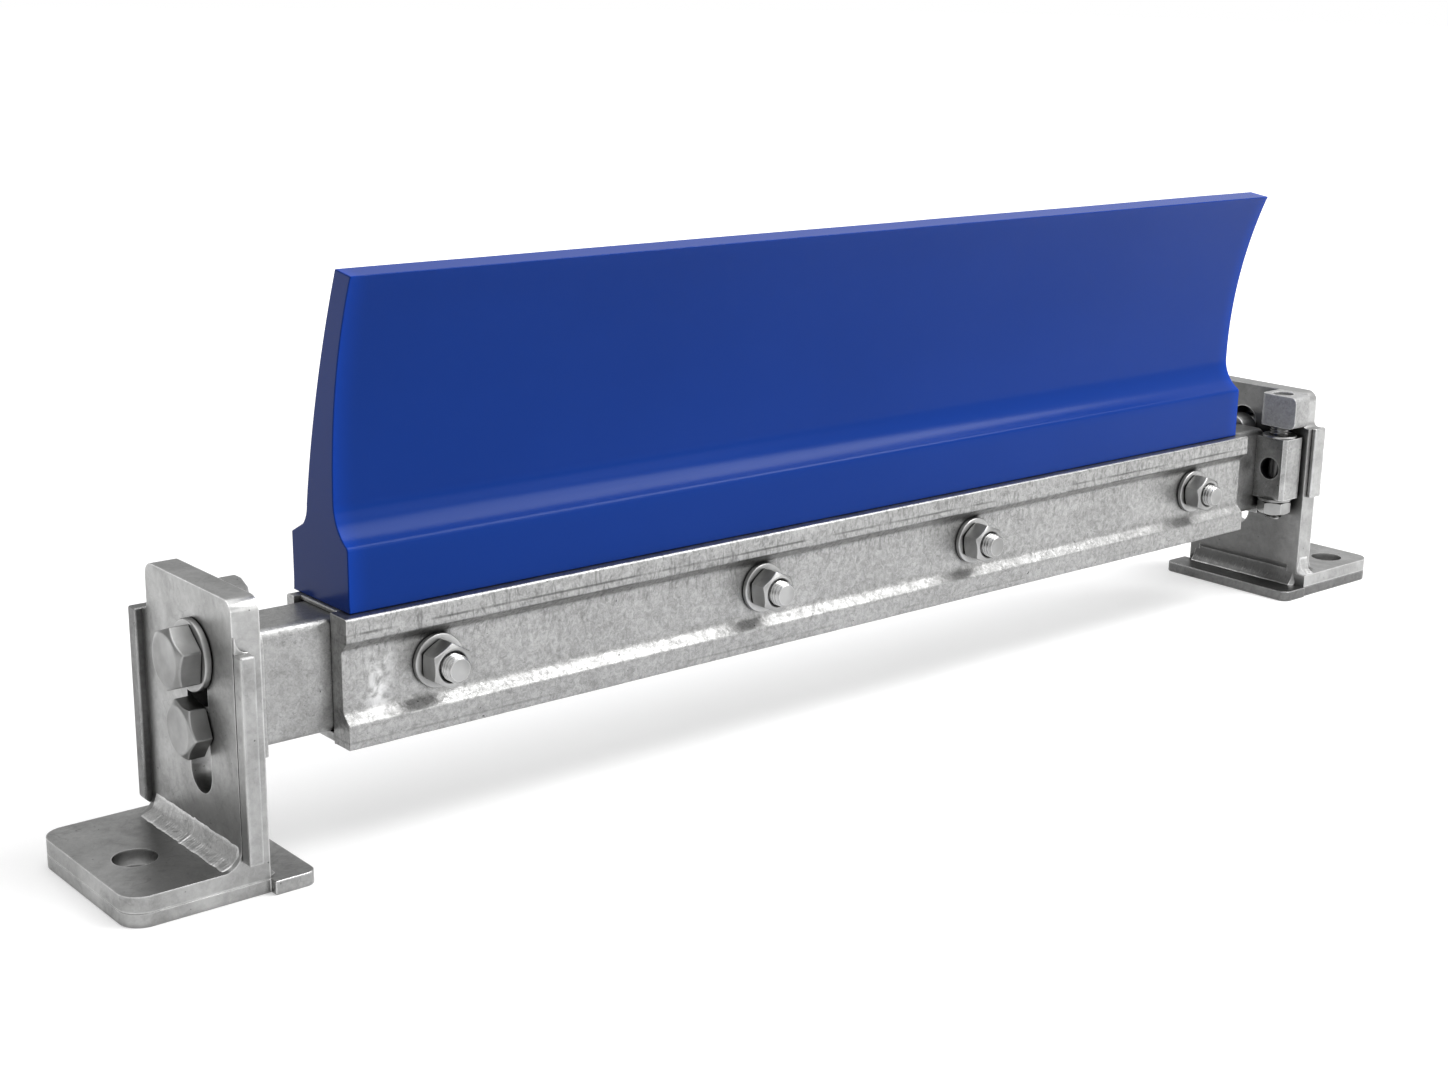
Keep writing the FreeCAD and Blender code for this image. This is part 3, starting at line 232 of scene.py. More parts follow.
def galvanised(name, dark, light, rough, patch=45.0, relief=0.4, crevice_shade=0.6, veins=0.3, metal=1.0,
               shade_from=None, smooth=0.0, reach=0.0030):
    """Dull zinc on steel: cloudy patches, small crystals, thin broken lines, an uneven skin, edges lightened by wear
    and by a painted highlight, and painted shade in corners.

    Patch is the scale of the patches' noise, and smooth says how much of the tone comes from them instead of from the
    grain. Crevice_shade is how dark the shade painted into corners and gaps is, and reach how wide. Below shade_from
    along X are the inner faces, which are painted darker, as shade.
    """
    shader = Shader(name)
    clouds = shader.spread(shader.noise(patch, 4.0, 0.62, 0.9), 0.32, 0.68)
    mottle = shader.mottle(patch * 8.0)
    tone = shader.total((clouds, 0.34 + 0.24 * smooth), (mottle, 0.34 - 0.16 * smooth),
                        (shader.spangle(patch * 14.0), 0.10), (shader.fine_grain(), 0.22 - 0.08 * smooth))
    colour = shader.mixed(tone, dark, light)
    lines = shader.product(shader.veins(patch * 3.2, 0.016), veins)
    colour = shader.mixed(lines, colour, darker(dark, 0.35))
    colour = shader.mixed(shader.specks(), colour, darker(dark, 0.45))
    # painted shade on the inner faces, weaker toward the front
    if shade_from is not None:
        inner_shade = shader.spread(shader.along("X"), shade_from, shade_from + 0.0008, 0.72, 0.0)
        behind = shader.spread(shader.along("Y"), -0.044, -0.020, 0.35, 1.0)
        colour = shader.mixed(shader.product(inner_shade, behind), colour, (0.045, 0.045, 0.044))
    # edges are lightened: partly wear of the zinc, partly a painted highlight
    wear_and_highlight = shader.spread(shader.noise(120.0, 3.0, 0.6), 0.3, 0.6, 0.3, 0.8)
    colour = shader.mixed(shader.product(shader.edge(0.0011), wear_and_highlight), colour, (0.80, 0.80, 0.795))
    # painted shade: corners and gaps are darkened toward a near-black
    painted_shade = shader.spread(shader.crevice(reach), 0.30, 0.80, crevice_shade, 0.0)
    colour = shader.mixed(painted_shade, colour, CORNER_SHADE_COLOUR)
    least, most = rough
    uneven = shader.spread(tone, 0.2, 0.8, most, least)
    skin = shader.bump(shader.noise(patch * 4.0, 3.0, 0.55, 0.3), relief, 0.0005)
    skin = shader.bump(mottle, relief * 0.35, 0.00018, skin)
    return shader.set(base_color=colour, metallic=metal, roughness=uneven, normal=skin)


def rolled_bar(name, dark, light):
    """The front bar's zinc: as the other steel, with run marks under the top lip and bright beads in the root."""
    shader = Shader(name)
    height = shader.along("Z")
    clouds = shader.spread(shader.noise(38.0, 5.0, 0.65, 0.6, shader.stretched(0.75, 1.0, 1.0)), 0.32, 0.68)
    mottle = shader.mottle(330.0)
    tone = shader.total((clouds, 0.18), (mottle, 0.44), (shader.spangle(520.0), 0.12), (shader.fine_grain(), 0.26))
    colour = shader.mixed(tone, dark, light)
    # a network of thin lines, stronger toward the right-hand end
    to_right = shader.spread(shader.along("X"), -0.1, 0.2, 0.25, 0.6)
    colour = shader.mixed(shader.product(shader.veins(95.0, 0.012), to_right), colour, darker(dark, 0.35))
    # a bright patch of melted zinc on the web near the left-hand end
    near_left = shader.band(shader.along("X"), -0.288, 0.001, 0.010, 0.85)
    melted = shader.spread(shader.noise(130.0, 3.0, 0.6, 0.4), 0.44, 0.58)
    on_web = shader.band(height, 0.072, 0.010, 0.016)
    colour = shader.mixed(shader.product(near_left, melted, on_web), colour, (0.72, 0.72, 0.72))
    # run marks: short curved strokes on the web, strongest just under the top lip
    strokes = shader.noise(170.0, 3.0, 0.6, 2.2, shader.stretched(1.8, 1.0, 0.55))
    strokes = shader.spread(strokes, 0.52, 0.64)
    under_lip = shader.spread(height, 0.070, 0.088, 0.08, 1.0)
    colour = shader.mixed(shader.product(under_lip, 0.48, strokes), colour, darker(dark, 0.5))
    # thin dark lines along the lips and at the top one's lower edge, broken here and there
    broken = shader.spread(shader.noise(24.0, 4.0, 0.6), 0.40, 0.56)
    for level, strength in ((0.0948, 0.70), (0.0913, 0.65), (0.0485, 0.30)):
        line = shader.band(height, level, 0.0002, 0.0007, strength)
        colour = shader.mixed(shader.product(line, broken), colour, (0.07, 0.07, 0.068))
    colour = shader.mixed(shader.specks(), colour, (0.10, 0.10, 0.098))
    # painted shade: corners and gaps are darkened
    painted_shade = shader.spread(shader.crevice(0.0030), 0.30, 0.85, 0.65, 0.0)
    colour = shader.mixed(painted_shade, colour, CORNER_SHADE_COLOUR)
    # the root above the lower lip is rough and beaded
    root = shader.band(height, BAR_ROOT * MM, 0.002, 0.005)
    beads = shader.spread(shader.noise(260.0, 4.0, 0.7, 0.6), 0.36, 0.64)
    colour = shader.mixed(shader.product(root, beads, 0.28), colour, darker(dark, 0.45))
    uneven = shader.maths("ADD", shader.spread(tone, 0.2, 0.8, 0.46, 0.30), shader.product(root, 0.08))
    skin = shader.bump(shader.noise(190.0, 3.0, 0.6, 0.4), 0.45, 0.0005)
    skin = shader.bump(shader.product(beads, root), 0.30, 0.0004, skin)
    skin = shader.bump(mottle, 0.15, 0.0002, skin)
    return shader.set(base_color=colour, metallic=1.0, roughness=uneven, normal=skin)


def zinc_plated(name, dark, light, shaded_between=None):
    """Bright fasteners with a fine uneven skin, edges lightened by wear and a painted highlight, and painted shade in
    thread roots and gaps; painted shade between two levels too, if given.
    """
    shader = Shader(name)
    clouds = shader.spread(shader.noise(60.0, 3.0, 0.5), 0.35, 0.65)
    colour = shader.mixed(clouds, dark, light)
    # edges are lightened: partly wear, partly a painted highlight
    colour = shader.mixed(shader.product(shader.edge(0.0009), 0.4), colour, (0.82, 0.82, 0.815))
    # painted shade: corners, gaps and thread roots are darkened
    painted_shade = shader.spread(shader.crevice(0.0035), 0.2, 0.8, 0.85, 0.0)
    colour = shader.mixed(painted_shade, colour, (0.03, 0.03, 0.03))
    # painted shade between two levels
    if shaded_between is not None:
        middle, half = (shaded_between[0] + shaded_between[1]) / 2, (shaded_between[1] - shaded_between[0]) / 2
        window_shade = shader.band(shader.along("Z"), middle, half - 0.002, half, 0.85)
        colour = shader.mixed(window_shade, colour, (0.02, 0.02, 0.02))
    rough = shader.spread(clouds, 0.0, 1.0, 0.34, 0.28)
    skin = shader.bump(shader.noise(900.0, 3.0, 0.6), 0.08, 0.0001)
    return shader.set(base_color=colour, metallic=1.0, roughness=rough, normal=skin)


def urethane(name, deep, pale, glow):
    """Moulded urethane: nearly even colour, a soft gloss, and colour painted lighter near its thin edges, as light
    that comes through them.
    """
    shader = Shader(name)
    cloud = shader.spread(shader.noise(9.0, 3.0, 0.5, 0.2), 0.15, 0.85)
    flow = shader.spread(shader.noise(5.0, 4.0, 0.55, 0.3, shader.stretched(0.25, 1.0, 1.6)), 0.15, 0.85)
    tone = shader.total((cloud, 0.5), (flow, 0.5))
    colour = shader.mixed(tone, deep, pale)
    # painted light: the colour is lighter near the ends and near the tip, as if light came through the thin urethane
    across = shader.distance(shader.along("X"), MIDDLE * MM)
    near_end = shader.spread(across, 0.283, 0.2946, 0.0, 0.75)
    near_tip = shader.spread(shader.along("Z"), 0.232, 0.243, 0.0, 0.35)
    thin = shader.maths("MAXIMUM", near_end, near_tip)
    colour = shader.mixed(shader.product(thin, thin), colour, glow)
    # painted shade: the flat ends are darker
    end_face_shade = shader.spread(across, 0.2946, 0.2949)
    colour = shader.mixed(end_face_shade, colour, darker(deep, 0.80))
    rough = shader.spread(tone, 0.0, 1.0, 0.25, 0.20)
    skin = shader.bump(shader.noise(420.0, 3.0, 0.5), 0.06, 0.0001)
    return shader.set(base_color=colour, roughness=rough, specular_ior_level=0.10,
                      specular_tint=(0.75, 0.85, 1.0), normal=skin)


# Each steel: its dark and light colour, and its least and most roughness
STEEL = galvanised("bar_steel", (0.24, 0.24, 0.237), (0.44, 0.44, 0.436), (0.34, 0.52))
PLATE = galvanised("plate_steel", (0.19, 0.19, 0.187), (0.46, 0.46, 0.456), (0.28, 0.44), patch=24.0,
                   relief=0.3, smooth=1.0)
# painted shade: a darker copy of the plate steel, for the shade the left back strip stands in
SHADED_STRIP = galvanised("shaded_strip_steel", (0.10, 0.10, 0.099), (0.21, 0.21, 0.208), (0.28, 0.42), patch=40.0, veins=0.2)
# the right bracket's steel: painted shade on its inner faces, and a wider painted shade in its corners
RIGHT_PLATE = galvanised("right_plate_steel", (0.24, 0.24, 0.237), (0.50, 0.50, 0.496), (0.28, 0.44), patch=26.0,
                         veins=0.2, shade_from=0.3401, relief=0.3, smooth=0.7, reach=0.0060)
# the adjuster's steel: the shade painted into its corners and gaps is darker and wider
ADJUSTER = galvanised("adjuster_steel", (0.17, 0.17, 0.168), (0.46, 0.46, 0.456), (0.28, 0.44), patch=40.0,
                      crevice_shade=0.9, smooth=0.5, reach=0.0120)
# painted shade: a darker copy of the plate steel, for the shade on the right base plate
SHADED_RIGHT_BASE = galvanised("shaded_right_base_steel", (0.09, 0.09, 0.089), (0.22, 0.22, 0.218), (0.30, 0.44), patch=34.0)
TUBE = galvanised("tube_steel", (0.21, 0.21, 0.207), (0.45, 0.45, 0.446), (0.30, 0.46), patch=60.0, veins=0.4)
LUG = galvanised("lug_steel", (0.16, 0.16, 0.158), (0.46, 0.46, 0.456), (0.34, 0.58), patch=70.0,
                 relief=0.9, metal=0.25)
ROLLED = rolled_bar("rolled_bar_steel", (0.19, 0.19, 0.187), (0.48, 0.48, 0.475))
WELD = galvanised("weld_steel", (0.30, 0.30, 0.297), (0.62, 0.62, 0.615), (0.28, 0.42), patch=90.0, crevice_shade=0.5,
                  veins=0.25)
ZINC = zinc_plated("fastener_zinc", (0.26, 0.26, 0.256), (0.40, 0.40, 0.396))
HEADS = zinc_plated("slot_bolt_zinc", (0.21, 0.21, 0.207), (0.34, 0.34, 0.337))
# the stem is painted dark between these levels, as shade where it stands in the adjuster block's window
STEM = zinc_plated("stem_zinc", (0.26, 0.26, 0.256), (0.40, 0.40, 0.396), shaded_between=(0.064, 0.096))
# the third colour is the painted light near the blade's thin edges
BLADE = urethane("blade_urethane", (0.0022, 0.0280, 0.200), (0.0036, 0.0360, 0.250), (0.004, 0.055, 0.44))

PAINT = {
    "blade": BLADE,
    "crossbeam_tube": TUBE,
    "front_clamp_bar": ROLLED,
    "back_clamp_bar": STEEL,
    "blade_seat_plate": STEEL,
    "bottom_plate": STEEL,
    "crush_sleeves": TUBE,
    "right_slide_block": ADJUSTER,
    "left_slide_block": TUBE,
    "adjuster_block": ADJUSTER,
    "right_adjuster_lug": LUG,
    "left_back_strip": SHADED_STRIP,
    "right_angle_bracket": RIGHT_PLATE,
    "right_base_plate": SHADED_RIGHT_BASE,
    "left_stop_lug": PLATE,
}
PLATE_WORDS = ("bracket", "strip", "base_plate")


def paint_nodes():
    for name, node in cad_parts.items():
        material = PAINT.get(name)
        if material is None:
            material = PLATE if any(word in name for word in PLATE_WORDS) else ZINC
        for slot in node.material_slots:
            slot.material = material


# Edges: the solids are sharp, and the real edges are a little rounded
def rounded_edges(thing, width, segments=2, angle=35.0):
    """A bevel of a width in millimetres on the edges that turn by more than an angle."""
    bevel = thing.modifiers.new("edges", "BEVEL")
    bevel.width = width * MM
    bevel.segments = segments
    bevel.limit_method = "ANGLE"
    bevel.angle_limit = math.radians(angle)
    bevel.use_clamp_overlap = True


def soften(node_name, width, segments=2):
    """A solid's triangles joined to whole faces, so that its edges can be rounded."""
    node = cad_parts[node_name]
    weld = node.modifiers.new("weld", "WELD")
    weld.merge_threshold = 0.02 * MM
    flatten = node.modifiers.new("flatten", "DECIMATE")
    flatten.decimate_type = "DISSOLVE"
    flatten.angle_limit = math.radians(0.5)
    rounded_edges(node, width, segments)


def soften_nodes():
    for bar in ("back_clamp_bar", "blade_seat_plate", "bottom_plate"):
        soften(bar, 0.5)
    for side in ("left", "right"):
        for plate in ("angle_bracket", "base_plate", "back_strip", "slide_block"):
            soften(side + "_" + plate, 1.0, 3)
    soften("left_front_strip", 0.8)
    for block in ("left_stop_lug", "adjuster_block"):
        soften(block, 0.9, 3)
    soften("right_adjuster_lug", 1.6, 4)


# Pieces built ring by ring, in millimetres
class Form:
    def __init__(self):
        self.points = []
        self.faces = []

    def join(self, one, other):
        for k in range(len(one)):
            after = (k + 1) % len(one)
            self.faces.append((one[k], one[after], other[after], other[k]))

    def skin(self, rings, loop=False):
        """Faces from each ring of points to the next, with both ends capped or joined to a loop."""
        made = []
        for ring in rings:
            first = len(self.points)
            self.points.extend(ring)
            made.append(range(first, len(self.points)))
        for one, other in zip(made, made[1:]):
            self.join(one, other)
        if loop:
            self.join(made[-1], made[0])
        else:
            self.faces += [tuple(made[0]), tuple(made[-1])]

    def turned(self, place, rings, loop=False):
        """Rings of points round a local Z axis, set in place by a matrix."""
        self.skin([[place @ Vector(point) for point in ring] for ring in rings], loop)

    def finish(self, name, body, slot_name, material, sharp=32.0):
        """The form as a piece that rides on a body, smooth up to an angle."""
        mesh = bpy.data.meshes.new(name)
        mesh.from_pydata([tuple(part * MM for part in point) for point in self.points], [], self.faces)
        shape = bmesh.new()
        shape.from_mesh(mesh)
        bmesh.ops.recalc_face_normals(shape, faces=shape.faces)
        shape.to_mesh(mesh)
        shape.free()
        mesh.shade_smooth()
        mesh.set_sharp_from_angle(angle=math.radians(sharp))
        mesh.materials.append(material)
        piece = bpy.data.objects.new(name, mesh)
        SCENE.collection.objects.link(piece)
        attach(piece, body)
        return piece


TILT = {
    "X": Matrix.Rotation(math.radians(90), 4, "Y"),
    "Y": Matrix.Rotation(math.radians(-90), 4, "X"),
    "-Y": Matrix.Rotation(math.radians(90), 4, "X"),
    "Z": Matrix.Identity(4),
    "-Z": Matrix.Rotation(math.radians(180), 4, "X"),
}
HALF_TURN = Matrix.Rotation(math.pi, 4, "Z")
SHIFT = Matrix.Translation((MIDDLE, 0.0, 0.0))


def placed(x, y, z, along, twist=0.0, left=False):
    """A local frame whose Z points along an axis, in the drawing round the blade's middle."""
    local = Matrix.Translation((x, y, z)) @ TILT[along] @ Matrix.Rotation(math.radians(twist), 4, "Z")
    return SHIFT @ HALF_TURN @ local if left else SHIFT @ local


# Fasteners: rings of this many points round an axis
STEPS = 72
ANGLES = [2 * math.pi * k / STEPS for k in range(STEPS)]
# How wide the flat of a head or nut is, as a share of its flats, and how steeply its corners are turned off
FACE_SHARE = 0.90
CORNER_CUT = math.tan(math.radians(30))


def polar(angle, radius, level):
    return radius * math.cos(angle), radius * math.sin(angle), level


def round_ring(radius, level):
    return [polar(a, radius, level) for a in ANGLES]


def hex_radius(angle, flats):
    """From the axis to the side of a hexagon that has a corner at angle 0."""
    return flats / 2 / math.cos(angle % (math.pi / 3) - math.pi / 6)


def hex_ring(flats, level):
    return [polar(a, hex_radius(a, flats), level) for a in ANGLES]


def coned_ring(flats, face, level, inward):
    """Where the turned cone meets the hexagon's sides: lower at each corner than in mid-side."""
    return [(x, y, z + inward * (hex_radius(a, flats) - face) * CORNER_CUT)
            for a, (x, y, z) in zip(ANGLES, hex_ring(flats, level))]


def add_head(form, place, flats, height):
    """A bolt head: flat below, its outer corners turned off, a fine ridge round the face."""
    face = flats / 2 * FACE_SHARE
    form.turned(place, [hex_ring(flats, 0.0), coned_ring(flats, face, height, -1), round_ring(face, height),
                        round_ring(face * 0.90, height), round_ring(face * 0.86, height - 0.12)])


def add_nut(form, place, flats, height, bore):
    """A nut: corners turned off at both faces, a countersink at each end of its bore."""
    face = flats / 2 * FACE_SHARE
    sink = 0.9
    form.turned(place, [
        round_ring(bore + sink, 0.0), round_ring(face, 0.0),
        coned_ring(flats, face, 0.0, 1), coned_ring(flats, face, height, -1),
        round_ring(face, height), round_ring(bore + sink, height),
        round_ring(bore, height - sink), round_ring(bore, sink)], loop=True)


def add_washer(form, place, outer, inner, thick):
    """A washer with a rounded rim, as a punched disc has."""
    soft = 0.5
    form.turned(place, [
        round_ring(inner, 0.0), round_ring(outer - soft * 0.6, 0.0), round_ring(outer, soft * 0.6),
        round_ring(outer, thick - soft), round_ring(outer - soft * 0.3, thick - soft * 0.3),
        round_ring(outer - soft, thick), round_ring(inner + soft, thick), round_ring(inner, thick - soft)],
        loop=True)


def thread_rings(radius, low, high, pitch, point):
    """A helical thread from low to high that runs out into a pointed end."""
    depth = 0.50 * pitch
    count = max(2, round((high - low) / (pitch / 8)))
    rings = []
    for k in range(count + 1):
        level = low + (high - low) * k / count
        tip = radius - point + (high - level) * 0.9
        ring = []
        for a in ANGLES:
            phase = (level / pitch - a / (2 * math.pi)) % 1.0
            # sloped flanks between a narrow flat crest and root
            flank = min(1.0, max(0.0, abs(phase - 0.5) * 2 * 1.35 - 0.15))
            ring.append(polar(a, min(radius - depth * flank, tip), level))
        rings.append(ring)
    return rings


# Washers: outer and inner radius, thickness. Heads and nuts: width across flats, height, and radius of a nut's bore
M12_WASHER = (12.0, 6.5, 2.5)
M16_WASHER = (15.0, 8.5, 3.0)
SCREW_WASHER = (10.0, 5.1, 1.5)
CLAMP_HEAD = (18.0, 7.5)
CLAMP_NUT = (18.0, 10.8, 6.1)
LOCK_NUT = (17.0, 8.4, 5.1)
M12_RADIUS = 6.0
M12_PITCH = 1.75

# The clamp bolts: their places along X, their nuts' twists, their level, the back and front face that they clamp, and
# where their threads start and end
BOLT_PLACES = (-254.5, -72.5, 72.5, 254.5)
NUT_TWISTS = (30.0, 37.0, 38.0, 38.0)
BEAM_LEVEL = 75.0
BACK_FACE = 21.0
WEB_FACE = 23.5
HEAD_SEAT = BACK_FACE + M12_WASHER[2]
NUT_SEAT = WEB_FACE + M12_WASHER[2]
THREAD_START = 20.0
THREAD_END = 41.8


def make_clamp_set():
    heads, shanks, nuts, washers, head_washers = Form(), Form(), Form(), Form(), Form()
    for x, twist in zip(BOLT_PLACES, NUT_TWISTS):
        add_head(heads, placed(x, HEAD_SEAT, BEAM_LEVEL, "Y"), *CLAMP_HEAD)
        plain = [round_ring(M12_RADIUS, -HEAD_SEAT), round_ring(M12_RADIUS, THREAD_START - 0.2)]
        thread = thread_rings(M12_RADIUS, THREAD_START, THREAD_END, M12_PITCH, 1.1)
        shanks.turned(placed(x, 0.0, BEAM_LEVEL, "-Y"), plain + thread)
        add_washer(head_washers, placed(x, BACK_FACE, BEAM_LEVEL, "Y"), *M12_WASHER)
        add_washer(washers, placed(x, -WEB_FACE, BEAM_LEVEL, "-Y"), *M12_WASHER)
        add_nut(nuts, placed(x, -NUT_SEAT, BEAM_LEVEL, "-Y", twist), *CLAMP_NUT)
    shanks.finish("threaded_clamp_shanks", "beam", ZINC_SLOT, ZINC)
    for form, name, node, width in ((heads, "turned_clamp_heads", "clamp_bolts", 0.4),
                                    (nuts, "turned_clamp_nuts", "clamp_nuts", 0.35),
                                    (washers, "punched_nut_washers", "clamp_nut_washers", 0.15),
                                    (head_washers, "punched_head_washers", "clamp_head_washers", 0.15)):
        piece = form.finish(name, "beam", ZINC_SLOT, ZINC)
        rounded_edges(piece, width, 2, 24.0)
        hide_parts(node)


# The slot bolts: their place along Y, the outer face under them, where their shanks start, and their levels
SLOT_Y = 9.0
OUTER_FACE = 357.2
SHANK_START = 333.0
UPPER_LEVEL = 94.0
LOWER_LEVEL = 64.0


def make_slot_bolts():
    # level, seat, width across flats and height of the head, radius of the shank, twist
    sizes = {
        "upper": (UPPER_LEVEL, OUTER_FACE + M16_WASHER[2], 24.0, 10.0, 8.0, -10.0),
        "lower": (LOWER_LEVEL, OUTER_FACE, 22.0, 9.0, 7.0, 22.0),
    }
    washers = Form()
    for which, (level, seat, flats, height, radius, twist) in sizes.items():
        heads, shanks = Form(), Form()
        for left in (False, True):
            add_head(heads, placed(seat, SLOT_Y, level, "X", twist, left), flats, height)
            shanks.turned(placed(SHANK_START, SLOT_Y, level, "X", 0.0, left),
                          thread_rings(radius, 0.0, seat - SHANK_START, 2.0, 0.0))
        shanks.finish("threaded_" + which + "_shanks", "beam", ZINC_SLOT, HEADS)
        piece = heads.finish("turned_" + which + "_heads", "beam", ZINC_SLOT, HEADS)
        rounded_edges(piece, 0.5, 3, 24.0)
        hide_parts(which + "_slot_bolts")
    for left in (False, True):
        add_washer(washers, placed(OUTER_FACE, SLOT_Y, UPPER_LEVEL, "X", 0.0, left), *M16_WASHER)
    piece = washers.finish("punched_slot_washers", "beam", ZINC_SLOT, ZINC)
    rounded_edges(piece, 0.2, 2, 24.0)
    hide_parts("upper_bolt_washers")


# The screw's axis and lowest point, and the levels of its washers
SCREW_X, SCREW_Y = 334.5, -25.2
SCREW_BOTTOM = 47.1
LOCK_LEVEL = 58.5
THRUST_LEVEL = 97.0
# The radius of its stem and, from its lowest point, where the stem's thread ends and the main one starts and ends
STEM_RADIUS = 5.0
STEM_THREAD = 12.0
MAIN_THREAD = 51.45
SCREW_TOP = 74.4


def make_screw():
    """The adjusting screw with its threads and socket, and its lock nut and washers."""
    screw = Form()
    # the stem's thread has its point below
    rings = [[(x, y, STEM_THREAD - level) for x, y, level in ring]
             for ring in reversed(thread_rings(STEM_RADIUS, 0.0, STEM_THREAD, 1.5, 0.9))]
    rings += [round_ring(STEM_RADIUS, STEM_THREAD + 0.2), round_ring(STEM_RADIUS, MAIN_THREAD)]
    rings += thread_rings(M12_RADIUS, MAIN_THREAD, SCREW_TOP, M12_PITCH, 1.0)
    # the socket: a small countersink, then a hexagon of 6 mm
    rings += [round_ring(4.2, SCREW_TOP), round_ring(3.464, 74.1), hex_ring(6.0, 73.4), hex_ring(6.0, 67.4)]
    screw.turned(placed(SCREW_X, SCREW_Y, SCREW_BOTTOM, "Z"), rings)
    piece = screw.finish("threaded_adjusting_screw", "screw", ZINC_SLOT, STEM)
    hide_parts("adjusting_screw")
    nut = Form()
    add_nut(nut, placed(SCREW_X, SCREW_Y, LOCK_LEVEL, "-Z"), *LOCK_NUT)
    piece = nut.finish("turned_lock_nut", "screw", ZINC_SLOT, ZINC)
    rounded_edges(piece, 0.3, 2, 24.0)
    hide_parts("lock_nut")
    for name, level, body in (("thrust_washer", THRUST_LEVEL, "beam"), ("lock_washer", LOCK_LEVEL, "screw")):
        disc = Form()
        add_washer(disc, placed(SCREW_X, SCREW_Y, level, "Z"), *SCREW_WASHER)
        piece = disc.finish("punched_" + name, body, ZINC_SLOT, ZINC)
        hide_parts(name)


# Long pieces: a closed section carried along X, uneven as rolled or moulded stock is
def arc_points(start, end, radius, bulge_left, step):
    """Points after the start of an arc, up to and with its end."""
    half = (end - start) * 0.5
    lift = math.sqrt(radius * radius - half.length_squared)
    across = Vector((-half.y, half.x)).normalized()
    side = 1.0 if bulge_left else -1.0
    centre = start + half - across * lift * side
    first = math.atan2(start.y - centre.y, start.x - centre.x)
    sweep = 2 * math.asin(half.length / radius)
    count = max(2, round(radius * sweep / step))
    angles = [first - side * sweep * k / count for k in range(1, count + 1)]
    return [centre + Vector((math.cos(a), math.sin(a))) * radius for a in angles]


def line_points(start, end, step):
    """Points after the start of a line, up to and with its end."""
    count = max(1, round((end - start).length / step))
    return [start.lerp(end, k / count) for k in range(1, count + 1)]


def wave(x, y, z, scale, seed):
    """Smooth noise between -1 and 1, with features about as long as the scale."""
    return noise.noise(Vector((x / scale + seed, y / scale, z / scale)))


def peak(value, level, half_width):
    """1 at a level, falling straight to 0 at half a width from it."""
    return max(0.0, 1.0 - abs(value - level) / half_width)


def swept(name, section, half_length, step, uneven, slot_name, material, sharp):
    """A section carried along X. The function uneven says how far each of its points is moved outward."""
    count = round(2 * half_length / step)
    rings = []
    for k in range(count + 1):
        x = -half_length + 2 * half_length * k / count
        ring = []
        for index, point in enumerate(section):
            last = section[index - 1]
            after = section[(index + 1) % len(section)]
            outward = Vector((after.y - last.y, last.x - after.x)).normalized()
            moved = point + outward * uneven(x, point.x, point.y)
            ring.append((x + MIDDLE, moved.x, moved.y))
        rings.append(ring)
    form = Form()
    form.skin(rings)
    return form.finish(name, "beam", slot_name, material, sharp)


# The level of the seat plate's top, on which the blade stands
SEAT = 102.0


def blade_section():
    """The blade's outline from its front foot round the back: each corner, and the arc that starts there, if any."""
    # the front face is upright where it leaves the shoulder, 94.2 mm under the tip and 19.7 mm behind it
    face_radius = (94.2 ** 2 + 19.7 ** 2) / (2 * 19.7)
    outline = (
        ((-22.5, 0.0), None), ((24.0, 0.0), None), ((24.0, 26.0), None), ((14.5, 31.0), (12.0, True)),
        ((10.5, 40.0), (470.0, False)), ((-19.4, 141.0), None), ((-31.7, 139.2), (face_radius, True)),
        ((-12.0, 45.0), (19.0, True)), ((-21.5, 28.0), (3.0, False)), ((-22.5, 26.0), None))
    points = []
    for k, (corner, arc) in enumerate(outline):
        start, end = Vector(corner), Vector(outline[(k + 1) % len(outline)][0])
        if arc is None:
            points += line_points(start, end, 4.0)
        else:
            radius, bulge_left = arc
            points += arc_points(start, end, radius, bulge_left, 0.8 if radius < 20 else 3.0)
    return [point + Vector((0.0, SEAT)) for point in points]


def make_blade():
    def uneven(x, y, z):
        if z < SEAT + 0.5:
            return 0.0
        return 0.16 * wave(x, y, z, 70.0, 3.0) + 0.03 * wave(x, y, z, 24.0, 8.0) - 0.19

    piece = swept("moulded_blade", blade_section(), 295.0, 5.0, uneven, BLADE_SLOT, BLADE, 32.0)
    rounded_edges(piece, 0.5, 3, 32.0)
    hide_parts("blade")


def bar_section():
    """The rolled bar: thick lips, rounded roots and a flat web, with its hidden back plain."""
    corners = [((-15.0, 45.0), 0.3), ((-15.0, 102.0), 0.3), ((-28.0, 102.0), 1.5), ((-28.0, 91.5), 1.5),
               ((-23.5, 87.0), 3.5), ((-23.5, 60.5), 3.5), ((-28.0, 56.0), 1.5), ((-28.0, 45.0), 1.0)]
    bends = []
    for k, (corner, radius) in enumerate(corners):
        here = Vector(corner)
        before = Vector(corners[k - 1][0])
        after = Vector(corners[(k + 1) % len(corners)][0])
        back, forth = (before - here).normalized(), (after - here).normalized()
        half = math.acos(max(-1.0, min(1.0, back.dot(forth)))) / 2
        reach = radius / math.tan(half)
        inner = here + (back + forth).normalized() * (radius / math.sin(half))
        first, last = here + back * reach - inner, here + forth * reach - inner
        count = max(2, round(radius * (math.pi - 2 * half) / 0.5))
        bends.append([inner + first.lerp(last, k / count).normalized() * radius for k in range(count + 1)])
    points = []
    for k, bend in enumerate(bends):
        points += bend
        points += line_points(bend[-1], bends[(k + 1) % len(bends)][0], 1.6)[:-1]
    return points


